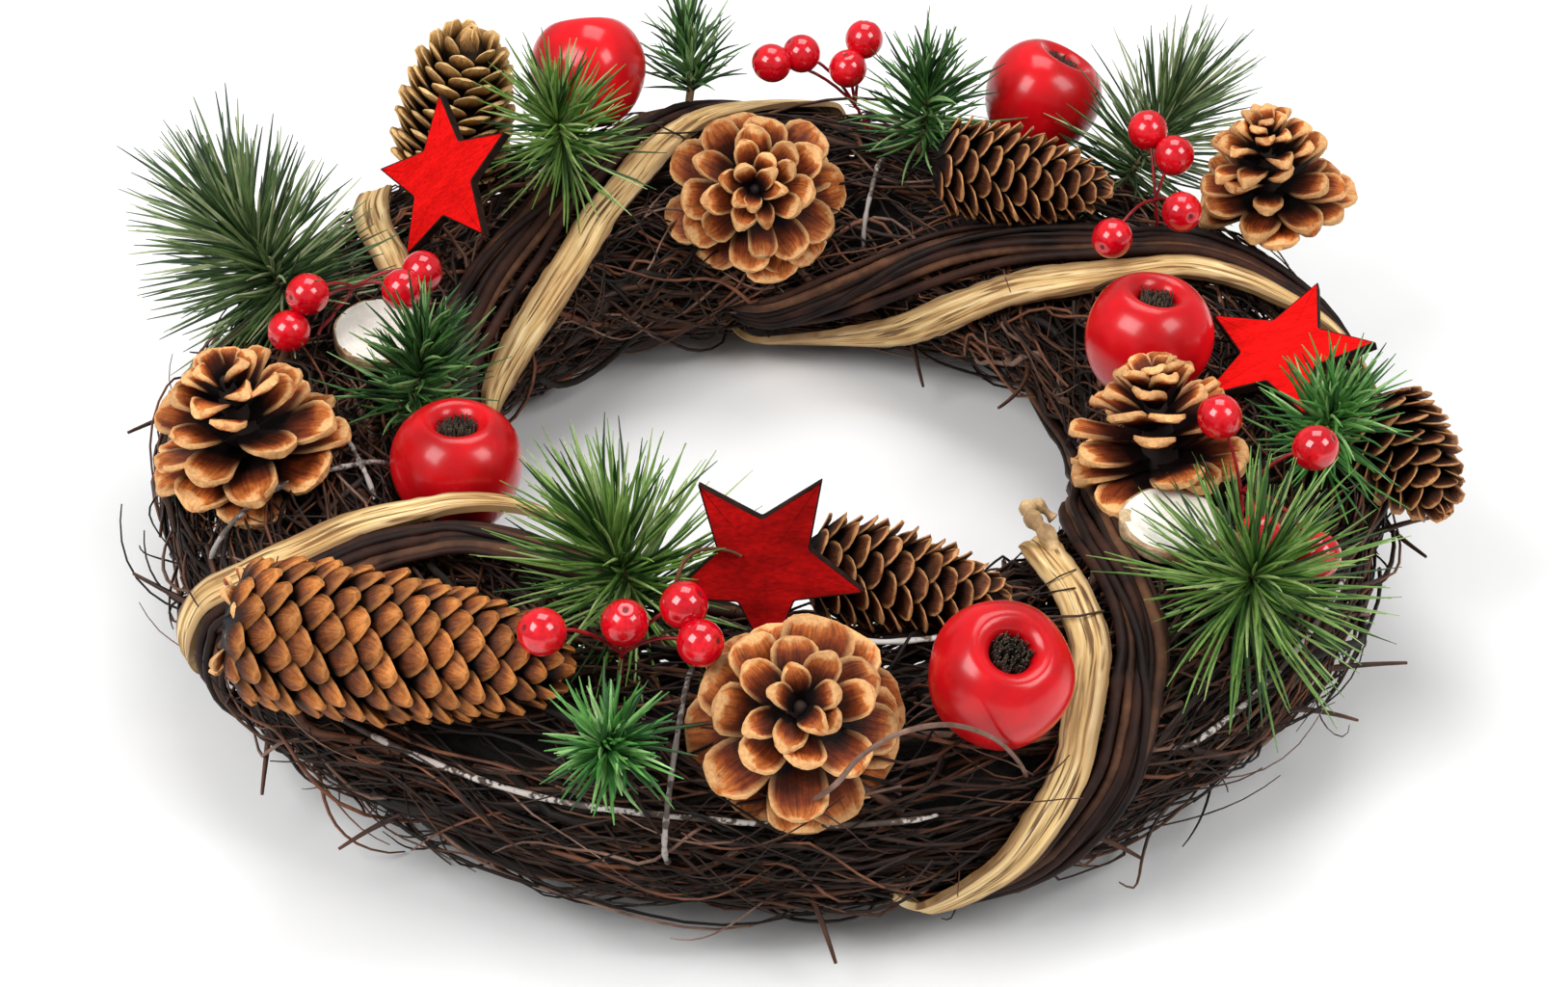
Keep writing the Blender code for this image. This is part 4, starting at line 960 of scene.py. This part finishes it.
def scale_mesh(name, along, across, outline, thickness, rise):
    """One woody scale, a unit long and wide, lying along +X with its inner face up."""
    bm = bmesh.new()
    bmesh.ops.create_grid(bm, x_segments=along, y_segments=across, size=1)
    store = bm.verts.layers.float_vector.new("place")
    for vert in bm.verts:
        vert[store] = (1 - ((1 - vert.co.x) / 2) ** 1.5, vert.co.y, 0)
    made = bmesh.ops.extrude_face_region(bm, geom=list(bm.faces), use_keep_orig=True)
    under = {item for item in made["geom"] if isinstance(item, bmesh.types.BMVert)}
    for vert in bm.verts:
        t, side = vert[store][:2]
        height = rise(t, side)
        if vert in under:
            height -= thickness(t, side)
        vert.co = (t, 0.5 * side * outline(t), height)
    bmesh.ops.recalc_face_normals(bm, faces=bm.faces)
    mesh = bpy.data.meshes.new(name)
    bm.to_mesh(mesh)
    bm.free()
    return mesh


def fan_scale(name, root, peak, thick, cup, curl):
    """An opened cone's scale: narrow at the root, a fan with a round thick lip at the end."""
    def outline(t):
        if t < peak:
            return root + (1 - root) * math.sin(0.5 * math.pi * t / peak) ** 1.4
        return math.sqrt(1 - 0.84 * ((t - peak) / (1 - peak)) ** 3)

    def thickness(t, side):
        lip = 1 - 0.45 * (max(0.0, t - 0.88) / 0.12) ** 2
        return (0.05 + (thick - 0.05) * t ** 3) * (1 - 0.55 * side ** 4) * lip

    def rise(t, side):
        return cup * side * side * t + curl * t ** 3 - 0.06 * (max(0.0, t - 0.85) / 0.15) ** 2

    return scale_mesh(name, 8, 6, outline, thickness, rise)


def shield_scale(name, root, peak, bluntness, bulge, curl):
    """A closed cone's scale: an oval that swells on its outer face and ends in a blunt point."""
    def outline(t):
        if t < peak:
            return root + (1 - root) * math.sin(0.5 * math.pi * t / peak)
        return 1 - bluntness * ((t - peak) / (1 - peak)) ** 1.7

    def thickness(t, side):
        hump = max(0.0, math.sin(math.pi * min(1.0, max(0.0, (t - 0.2) / 0.86)))) ** 0.8
        return 0.07 * (1 - 0.5 * side ** 4) + bulge * (1 - side * side) * hump

    def rise(t, side):
        return -0.04 * side * side - curl * t ** 4

    return scale_mesh(name, 6, 4, outline, thickness, rise)


OPEN_SHAPES = [fan_scale(f"open_scale_{k}", *shape) for k, shape in enumerate((
    (0.24, 0.76, 0.25, 0.03, -0.06), (0.27, 0.72, 0.28, 0.07, -0.14), (0.22, 0.8, 0.24, 0.0, -0.01)))]
SHIELDS = {
    "amber": ((0.7, 0.58, 0.82, 0.22, 0.0), (0.7, 0.62, 0.76, 0.26, 0.08)),
    "dark": ((0.7, 0.66, 0.62, 0.05, 0.12), (0.7, 0.7, 0.5, 0.04, 0.18)),
    "olive": ((0.7, 0.6, 0.7, 0.1, 0.1), (0.75, 0.66, 0.55, 0.12, 0.14)),
}
LONG_SHAPES = {}
for hue, shapes in SHIELDS.items():
    LONG_SHAPES[hue] = [shield_scale(f"{hue}_scale_{k}", *shape) for k, shape in enumerate(shapes)]

# How a long cone grows: how full its body is, how far out a scale's foot stands, how wide for its spacing.
LONG_HABITS = {"amber": (0.36, 0.5, 1.42), "dark": (0.5, 0.38, 1.5), "olive": (0.3, 0.5, 1.5)}

# Numbers of a cone's finishes beside that of its scales, and how far scales crinkle.
BODY, OPENED = 1, 2
OPEN_CRINKLE = 0.55 * MM
LONG_CRINKLE = 0.35 * MM

# The body of an open cone, as (radius, height) in mm, and where that of a long cone has its corners.
OPEN_BODY = ((0, 0), (4, 0.4), (5.2, 3), (4.8, 10), (3.0, 22), (1.2, 28), (0, 29))
LONG_BODY = (0.02, 0.2, 0.4, 0.6, 0.8, 0.95)

# Opened scales at the foot of the amber cone.
FOOT_SCALES = 15


def add_scale(bm, mesh, placing, chance, crinkle, finish=0):
    """Add a copy of a scale to a cone, crinkled a little, with a chance of its own for its colour."""
    first, first_face = len(bm.verts), len(bm.faces)
    bm.from_mesh(mesh)
    bm.verts.ensure_lookup_table()
    bm.faces.ensure_lookup_table()
    for face in bm.faces[first_face:]:
        face.material_index = finish
    store = bm.verts.layers.float_vector["place"]
    for k in range(first, len(bm.verts)):
        vert = bm.verts[k]
        vert.co = placing @ vert.co
        vert.co += noise.noise_vector(vert.co * 140) * crinkle
        vert[store] = (vert[store][0], vert[store][1], chance)


def scale_placing(foot, heading, upward, length, width, thickness, roll):
    """The placing of a unit scale: its length along heading, its inner face towards upward."""
    side = upward.cross(heading).normalized()
    normal = heading.cross(side).normalized()
    turned = Matrix.Rotation(roll, 3, heading)
    side, normal = turned @ side, turned @ normal
    columns = (heading * length, side * width, normal * thickness)
    placing = Matrix(columns).transposed().to_4x4()
    placing.translation = foot
    return placing


def spun_body(bm, profile, steps, placing):
    """Add a turned body, its profile given from one pole to the other as (radius, height)."""
    corners = [bm.verts.new((radius, 0, height)) for radius, height in profile]
    edges = [bm.edges.new(pair) for pair in zip(corners, corners[1:])]
    before = set(bm.verts) - set(corners)
    bmesh.ops.spin(bm, geom=corners + edges, axis=(0, 0, 1), cent=(0, 0, 0), steps=steps, angle=TURN,
                   use_merge=True)
    fresh = [v for v in bm.verts if v not in before]
    bmesh.ops.remove_doubles(bm, verts=fresh, dist=0.01 * MM)
    fresh = [v for v in bm.verts if v not in before]
    bmesh.ops.recalc_face_normals(bm, faces=list({f for v in fresh for f in v.link_faces}))
    bmesh.ops.transform(bm, matrix=placing, verts=fresh)
    return fresh


def cone_body(bm, profile, placing):
    """Add the body that a cone's scales stand on, after the scales, in a near-black finish that is painted
    shade.
    """
    for vert in spun_body(bm, profile, 14, placing):
        for face in vert.link_faces:
            face.material_index = BODY


def open_cone(number, draw):
    """An opened cone: broad scales in a spiral, wide and flat below, short and steep at the tip."""
    size, axis, scales, widths, rises = OPEN_CONES[number]
    node = f"open_cone_{number + 1}"
    axis = Vector(axis).normalized()
    placing = pointing(end_of(node, -axis), axis)
    bm = bmesh.new()
    bm.verts.layers.float_vector.new("place")
    for k in range(scales):
        t = max(0, k - SKIRT) / (scales - 1 - SKIRT)
        turn = GOLDEN_TURN * k + draw.uniform(-0.2, 0.2)
        rise = math.radians(rises[0] + (rises[1] - rises[0]) * t ** 1.15 + draw.uniform(-10, 10))
        reach = OPEN_CONE_RADIUS * size * (1.0 - 0.6 * t ** 1.4) * draw.uniform(0.9, 1.05)
        width = size * (widths[0] + (widths[1] - widths[0]) * t ** 0.8) * MM * draw.uniform(0.85, 1.1)
        flat = level_way(turn)
        heading = flat * math.cos(rise) + UP * math.sin(rise)
        upward = UP * math.cos(rise) - flat * math.sin(rise)
        foot = UP * size * (3.5 + CONE_CLIMB[number] * t) * MM
        local = scale_placing(foot, heading, upward, reach, width, 14 * MM, draw.uniform(-0.32, 0.32))
        add_scale(bm, OPEN_SHAPES[k % 3], placing @ local, draw.random(), OPEN_CRINKLE)
    cone_body(bm, [(size * r * MM, size * z * MM) for r, z in OPEN_BODY], placing)
    cone = mesh_piece(f"{node}_scales", bm, [SCALES["open_cone_scale"], CONE_CORE_SHADE], 50)
    return show(cone, "open_cone_scale", node)


def cone_girth(t, fullness):
    return math.sin(math.pi * min(1.0, 0.16 + 0.84 * t) ** 0.8) ** fullness if t < 1 else 0.0


def scale_places(scales, fullness):
    """Where a long cone's scales stand, closer where it is slim, and the mean of girth over size squared."""
    steps = 400
    crowd = []
    for k in range(steps):
        girth = cone_girth((k + 0.5) / steps, fullness)
        crowd.append(girth / scale_share(girth) ** 2)
    total = sum(crowd)
    places, gone = [], 0.0
    for k, share in enumerate(crowd):
        gone += share
        while len(places) < scales and gone >= (len(places) + 0.5) * total / scales:
            places.append((k + 0.5) / steps)
    return places, total / steps


def scale_share(girth):
    """How large a scale is for the girth where it stands."""
    return 0.62 + 0.38 * girth


def ragged_foot(bm, placing, draw):
    """Opened scales that stand off a long cone's foot, with a finish of their own."""
    for k in range(FOOT_SCALES):
        flat = level_way(GOLDEN_TURN * k)
        heading = (flat - UP * draw.uniform(-0.5, 0.5)).normalized()
        lean = flat * 0.2 + UP
        upward = (lean - heading * heading.dot(lean)).normalized()
        foot = (flat * 3 + UP * draw.uniform(1, 6)) * MM
        length, roll = draw.uniform(9, 12) * MM, draw.uniform(-0.4, 0.4)
        local = scale_placing(foot, heading, upward, length, 5.5 * MM, 9 * MM, roll)
        add_scale(bm, OPEN_SHAPES[k % 3], placing @ local, draw.random(), OPEN_CRINKLE, OPENED)


def long_cone(number, draw):
    """A long cone: scales in a close spiral that lie over the next, closed over its tip."""
    length, radius, scales, axis, turn, hue = LONG_CONES[number]
    fullness, stand, breadth = LONG_HABITS[hue]
    node = f"long_cone_{number + 1}"
    axis = Vector(axis).normalized()
    placing = pointing(end_of(node, -axis), axis, turn)
    bm = bmesh.new()
    bm.verts.layers.float_vector.new("place")
    places, mean = scale_places(scales, fullness)
    size = math.sqrt(TURN * radius * length * mean / scales)
    for k, t in enumerate(places):
        spin = GOLDEN_TURN * k + draw.uniform(-0.05, 0.05)
        flat = level_way(spin)
        girth = cone_girth(t, fullness)
        local_size = size * scale_share(girth)
        end = min(1.0, t + 0.8 * local_size / length)
        foot = (flat * stand * girth * radius + UP * max(0.5, t * length - 0.8 * local_size)) * MM
        tip = flat * 1.02 * radius * cone_girth(end, fullness) * draw.uniform(0.97, 1.03) * MM
        tip += UP * end * length * MM
        heading = (tip - foot).normalized()
        upward = (heading * heading.dot(flat) - flat).normalized()
        reach = (tip - foot).length
        closing = 1 - 0.5 * max(0.0, (t - 0.8) / 0.2)
        width = closing * breadth * local_size * MM
        local = scale_placing(foot, heading, upward, reach, width, reach * 0.8, draw.uniform(-0.08, 0.08))
        add_scale(bm, LONG_SHAPES[hue][k % 2], placing @ local, draw.random(), LONG_CRINKLE)
    finishes = [SCALES[f"long_cone_{hue}"], CONE_CORE_SHADE]
    if hue == "amber":
        ragged_foot(bm, placing, draw)
        finishes.append(SCALES["open_cone_scale"])
    body = [(0, 0)]
    for t in LONG_BODY:
        body.append((0.9 * stand * cone_girth(t, fullness) * radius, t * length * 0.95))
    body.append((0, 0.96 * length))
    cone_body(bm, [(r * MM, z * MM) for r, z in body], placing)
    return show(mesh_piece(f"{node}_scales", bm, finishes, 50), "long_cone_scale", node)


# Stars, apples, berries and slices.

def star(number):
    """A five-pointed star of board, with a scorched sawn edge."""
    radius, axis, turn = STARS[number]
    node = f"star_{number + 1}"
    bm = bmesh.new()
    rim = []
    for k in range(10):
        reach = radius * MM * (1.0 if k % 2 == 0 else STAR_WAIST)
        angle = math.radians(90 + 36 * k)
        rim.append(bm.verts.new((reach * math.cos(angle), reach * math.sin(angle), -STAR_THICKNESS / 2)))
    centre = bm.verts.new((0, 0, -STAR_THICKNESS / 2))
    face = [bm.faces.new((centre, rim[k], rim[(k + 1) % 10])) for k in range(10)]
    grown = bmesh.ops.extrude_face_region(bm, geom=face, use_keep_orig=True)
    top = [item for item in grown["geom"] if isinstance(item, bmesh.types.BMVert)]
    bmesh.ops.translate(bm, vec=(0, 0, STAR_THICKNESS), verts=top)
    bmesh.ops.recalc_face_normals(bm, faces=bm.faces)
    corners = [e for e in bm.edges if abs(e.verts[0].co.z - e.verts[1].co.z) > MM]
    bmesh.ops.bevel(bm, geom=corners, offset=0.5 * MM, segments=2, profile=0.5, affect="EDGES", material=-1)
    flats = [f for f in bm.faces if abs(f.normal.z) > 0.9]
    for face in bm.faces:
        face.material_index = 1
    bmesh.ops.inset_region(bm, faces=flats, thickness=0.45 * MM, depth=0.18 * MM)
    for face in flats:
        face.material_index = 0
    bmesh.ops.transform(bm, matrix=pointing(middle_of(node), axis, turn), verts=bm.verts)
    # The front star takes the darker red, which is painted shade.
    felt = FELTS[1] if number == 1 else FELTS[0]
    return show(mesh_piece(f"star_{number + 1}_board", bm, [felt, BURNT], 15), "star_red", node)


APPLE_PROFILE = (
    (0, -0.74), (0.06, -0.78), (0.16, -0.855), (0.28, -0.885), (0.46, -0.83), (0.66, -0.68), (0.83, -0.46),
    (0.945, -0.2), (0.995, 0.04), (1.0, 0.24), (0.95, 0.47), (0.86, 0.66), (0.74, 0.81), (0.61, 0.905),
    (0.52, 0.94), (0.44, 0.925), (0.36, 0.87), (0.305, 0.8), (0.28, 0.7), (0.27, 0.56), (0.14, 0.54),
    (0, 0.54),
)

# How far an apple's foot is below its middle, as a share of its radius, and the pit with its bristles.
APPLE_DEPTH = 0.88
PIT_RADIUS = 0.275 * APPLE_RADIUS
BRISTLES = 190


def apple(number, draw):
    """A round apple with a raised lip round its pit, and the dark bristles in the pit."""
    axis = Vector(APPLE_AXES[number]).normalized()
    node = f"apple_{number + 1}"
    placing = pointing(end_of(node, -axis) + axis * APPLE_DEPTH * APPLE_RADIUS, axis)
    bm = bmesh.new()
    profile = [(out * APPLE_RADIUS, up * APPLE_RADIUS) for out, up in APPLE_PROFILE]
    spun_body(bm, profile, 40, Matrix.Identity(4))
    phase = draw.uniform(0, 6.3)
    for vert in bm.verts:
        flat = math.hypot(vert.co.x, vert.co.y)
        angle = math.atan2(vert.co.y, vert.co.x)
        share = min(1.0, flat / APPLE_RADIUS)
        swell = 1 + share * (0.016 * math.sin(5 * angle + phase) + 0.014 * math.sin(2 * angle + 2 * phase))
        vert.co.x *= swell
        vert.co.y *= swell
    for face in bm.faces:
        middle = face.calc_center_median()
        if middle.z > 0.5 * APPLE_RADIUS and math.hypot(middle.x, middle.y) < PIT_RADIUS:
            face.material_index = 1
    bmesh.ops.transform(bm, matrix=placing, verts=bm.verts)
    skin = mesh_piece(f"apple_{number + 1}_skin", bm, [APPLE, CALYX])
    smoothing = skin.modifiers.new("smooth", "SUBSURF")
    smoothing.levels = smoothing.render_levels = 1
    show(skin, "apple_red", node)

    lines = []
    for _ in range(BRISTLES):
        angle, out = draw.uniform(0, TURN), 4.6 * math.sqrt(draw.random())
        flat = level_way(angle)
        foot = 0.85 * out * flat + UP * 9.8
        lean = Vector((draw.uniform(-0.9, 0.9), draw.uniform(-0.9, 0.9), draw.uniform(3.6, 6.2)))
        top = foot + 0.18 * out * flat + lean
        points = [placing @ (p * MM) for p in (foot, foot.lerp(top, 0.6) + 0.1 * out * flat, top)]
        lines.append((points, (0.3, 0.27, 0.16), 0))
    tuft = strands(f"apple_{number + 1}_bristles", lines, [CALYX], 0)
    return show(tuft, "calyx_black", f"apple_calyx_{number + 1}")


def berries(number, draw):
    """Glossy berries on thin red wires that part from one stem."""
    fork, middles = BERRY_SPRAYS[number]
    node = f"berry_spray_{number + 1}"
    fork = Vector(fork) * MM
    root = end_of(node, (0, 0, -1))
    drop = (root - fork).normalized()
    bm = bmesh.new()
    for place in middles:
        middle = Vector(place) * MM
        away = (middle - fork).normalized()
        ball = bmesh.ops.create_uvsphere(bm, u_segments=24, v_segments=24, radius=BERRY_RADIUS)["verts"]
        tilt = away.to_track_quat("Z", "Y").to_matrix().to_4x4()
        plump = draw.uniform(0.97, 1.05)
        for face in {f for v in ball for f in v.link_faces}:
            if face.calc_center_median().z > 0.985 * BERRY_RADIUS:
                face.material_index = 1
        for vert in ball:
            near_tip = max(0.0, vert.co.z / BERRY_RADIUS - 0.93) / 0.07
            vert.co.z = vert.co.z * plump - 0.5 * MM * near_tip ** 2
        bmesh.ops.transform(bm, matrix=Matrix.Translation(middle) @ tilt, verts=ball)
    show(mesh_piece(f"berries_{number + 1}", bm, [BERRY, BERRY_TIP]), "berry_red", node)

    shares = [k / 8 for k in range(9)]
    twist = [root.lerp(fork, t) + level_way(2.2 * k) * 0.3 * MM for k, t in enumerate(shares)]
    lines = [(twist, [1.1 * WIRE_RADIUS] * len(shares), 0)]
    start = fork + drop * MM
    for place in middles:
        middle = Vector(place) * MM
        bow = UP * 0.16 * (middle - fork).length
        high = fork.lerp(middle, 0.45) + 1.6 * bow
        points = [(1 - t) ** 2 * start + 2 * t * (1 - t) * high + t * t * middle for t in shares]
        lines.append((points, [WIRE_RADIUS] * len(shares), 0))
    wires = strands(f"berry_wires_{number + 1}", lines, [WIRE])
    return show(wires, "berry_red")


def wood_slice(number):
    """A short slice across a branch: a pale sawn face and a rim of bark."""
    node = f"wood_slice_{number + 1}"
    bm = bmesh.new()
    store = bm.verts.layers.float_vector.new("place")
    half = SLICE_THICKNESS / 2
    rings = 7
    profile = [(SLICE_RADIUS * 0.93 * k / rings, half) for k in range(rings + 1)]
    profile += [(0.965 * SLICE_RADIUS, half - 0.1 * MM), (SLICE_RADIUS, half - 0.5 * MM), (SLICE_RADIUS, 0),
                (0.985 * SLICE_RADIUS, 0.3 * MM - half), (0.94 * SLICE_RADIUS, -half), (0, -half)]
    spun_body(bm, profile, 44, Matrix.Identity(4))
    for vert in bm.verts:
        out = math.hypot(vert.co.x, vert.co.y)
        vert[store] = (0, out / SLICE_RADIUS, 0)
        if out > 0.9 * SLICE_RADIUS:
            swell = 1 + 0.03 * noise.noise(vert.co * 260)
            vert.co.x *= swell
            vert.co.y *= swell
        vert.co.x *= SLICE_STRETCH[number]
    for face in bm.faces:
        middle = face.calc_center_median()
        if math.hypot(middle.x, middle.y) > 0.945 * SLICE_RADIUS:
            face.material_index = 1
    bmesh.ops.transform(bm, matrix=pointing(middle_of(node), SLICE_AXES[number]), verts=bm.verts)
    return show(mesh_piece(f"wood_slice_{number + 1}_disc", bm, [SLICE, SLICE_BARK], 45), "slice_wood", node)


# Needles.

# The steps of a needle, and how thick it is at each point, from the foot to the tip.
NEEDLE_STEPS = 5
NEEDLE_SHAPE = (0.75, 0.95, 1.0, 0.95, 0.75, 0.25)


def needle_spray(number, draw, dressing):
    """Needles in a close spiral round a stem, a little bent, and a brown bud at the tip of some."""
    aim, stem, needle, count, leans, thick, hue = NEEDLE_SPRAYS[number]
    node = f"needle_spray_{number + 1}"
    aim = Vector(aim).normalized()
    root = end_of(node, -aim)
    side = aim.orthogonal().normalized()
    other = aim.cross(side)
    tip = root + aim * stem * MM
    bend = 1.8 * MM * side
    stem_line = [root - 4 * MM * aim]
    stem_line += [root.lerp(tip, t) + bend * math.sin(math.pi * t) for t in (0, 0.25, 0.5, 0.75, 1)]
    lines = [(stem_line, (1.2, 1.25, 1.3, 1.1, 0.95, 0.7), STEM_FINISH)]
    curl = 0.3 if hue in ("emerald", "deep") else 0.13
    if number in BUDDED:
        bud = [tip + aim * d * MM for d in (-1.5, 0.5, 2.4, 4.2, 5.4)]
        lines.append((bud, (0.8, 1.45, 1.7, 1.1, 0.3), STEM_FINISH))
    for k in range(count):
        t = (k + 0.5) / count
        rising = 0.99 - (0.3 if number == TUFT else 0.87) * (1 - t)
        foot = root.lerp(tip, rising) + bend * math.sin(math.pi * rising)
        turn = GOLDEN_TURN * k + draw.uniform(-0.2, 0.2)
        lean = math.radians(leans[0] + (leans[1] - leans[0]) * t ** 1.2 + draw.uniform(-13, 13))
        heading = aim * math.cos(lean) + (side * math.cos(turn) + other * math.sin(turn)) * math.sin(lean)
        length = needle * draw.uniform(0.72, 1.0)
        droop = Vector((draw.uniform(-1, 1), draw.uniform(-1, 1), draw.uniform(-1, 0.6))) * curl * length
        shade = draw.choices((0, 1, 2), GREEN_SHARES)[0]
        points = []
        for step in range(NEEDLE_STEPS + 1):
            s = step / NEEDLE_STEPS
            point = foot + (heading * length * s + droop * s * s) * MM
            if dressing.near(point, 0.9 * thick * MM) or point.z < MM:
                break
            points.append(point)
        if len(points) > 2:
            radii = [thick * r for r in NEEDLE_SHAPE[-len(points):]]
            lines.append((points, radii, shade))
    spray = strands(f"needles_{number + 1}", lines, (*GREENS[hue], STEM), 0)
    return show(spray, "needle_green", node)


# Lights, as (name, place in m, size in m, power), and the point they all look at.
LIGHTS = (
    ("left", (-0.75, -0.55, 1.0), 0.7, 13.5),
    ("right", (0.8, -0.45, 0.95), 0.55, 7.5),
    ("top", (0.1, 0.5, 1.3), 0.8, 9),
)
LIT = Vector((0, 0, 0.03))

# The camera, by its angle over the floor in degrees, distance in m, and the point it looks at.
ELEVATION = 36.6
DISTANCE = 0.9
AIM = Vector((2.7, -16.9, 33.2)) * MM
FOCAL_LENGTH = 75.45
FILM_WIDTH = 36


def studio():
    """A plain pale floor, soft lights and the camera."""
    bm = bmesh.new()
    bmesh.ops.create_grid(bm, x_segments=1, y_segments=1, size=4)
    bmesh.ops.translate(bm, vec=(0, 0, -0.3 * MM), verts=bm.verts)
    floor_finish, tree, shader = start_material("floor", 0.75)
    pale = mottle(tree, object_place(tree), 3.0, 1.0)[0]
    tree.links.new(mix(tree, pale, (0.86, 0.86, 0.86), (0.88, 0.88, 0.88)), shader.inputs["Base Color"])
    mesh_piece("floor", bm, [floor_finish])

    world = bpy.data.worlds.new("studio")
    world.use_nodes = True
    world.node_tree.nodes["Background"].inputs["Color"].default_value = (1, 1, 1, 1)
    world.node_tree.nodes["Background"].inputs["Strength"].default_value = 0.36
    scene = bpy.context.scene
    scene.world = world
    scene.view_settings.view_transform = "Standard"
    for name, where, size, power in LIGHTS:
        light = bpy.data.lights.new(name, "AREA")
        light.energy = power
        light.size = size
        lamp = new_object(name, light)
        lamp.location = where
        lamp.rotation_euler = (LIT - Vector(where)).to_track_quat("-Z", "Y").to_euler()

    camera_data = bpy.data.cameras.new("camera")
    camera_data.sensor_width = FILM_WIDTH
    camera_data.lens = FOCAL_LENGTH
    camera = new_object("camera", camera_data)
    elevation = math.radians(ELEVATION)
    back = Vector((0, -math.cos(elevation), math.sin(elevation)))
    camera.location = AIM + back * DISTANCE
    camera.rotation_euler = (-back).to_track_quat("-Z", "Y").to_euler()
    scene.camera = camera


def build():
    draw = random.Random(SEED)
    # Vector noise starts from the clock unless seeded, and it crinkles the scales of the cones.
    noise.seed_set(SEED)
    under = Obstacles(("vine_wrap", "cane_strip", "hoop", "apple_", "star", "wood_slice", "long_cone",
                       "open_cone", "berry"))
    in_the_way = Obstacles(("vine_wrap", "cane_strip", "apple_", "star", "wood_slice", "long_cone"))
    painted_brush_shade()
    for number in range(BUNDLES):
        brushwood(number, draw, under)
    thick_twigs(draw, under)
    for number in range(len(BINDINGS)):
        vine_band(number, draw)
    for number, keys in enumerate(BINDINGS):
        cane(number + 1, keys, *CANE_SPANS[number], draw)
    cane(5, SHORT_CANE, 1.0, len(SHORT_CANE) - 1, draw)
    cane_knot()
    for name, keys in HOOPS:
        rod(name, keys)
    for number in range(len(OPEN_CONES)):
        open_cone(number, draw)
    for number in range(len(LONG_CONES)):
        long_cone(number, draw)
    for number in range(len(STARS)):
        star(number)
    for number in range(len(APPLE_AXES)):
        apple(number, draw)
    for number in range(len(BERRY_SPRAYS)):
        berries(number, draw)
    for number in range(len(SLICE_AXES)):
        wood_slice(number)
    for number in range(len(NEEDLE_SPRAYS)):
        needle_spray(number, draw, in_the_way)
    for mesh in OPEN_SHAPES + sum(LONG_SHAPES.values(), []):
        bpy.data.meshes.remove(mesh)


build()
studio()
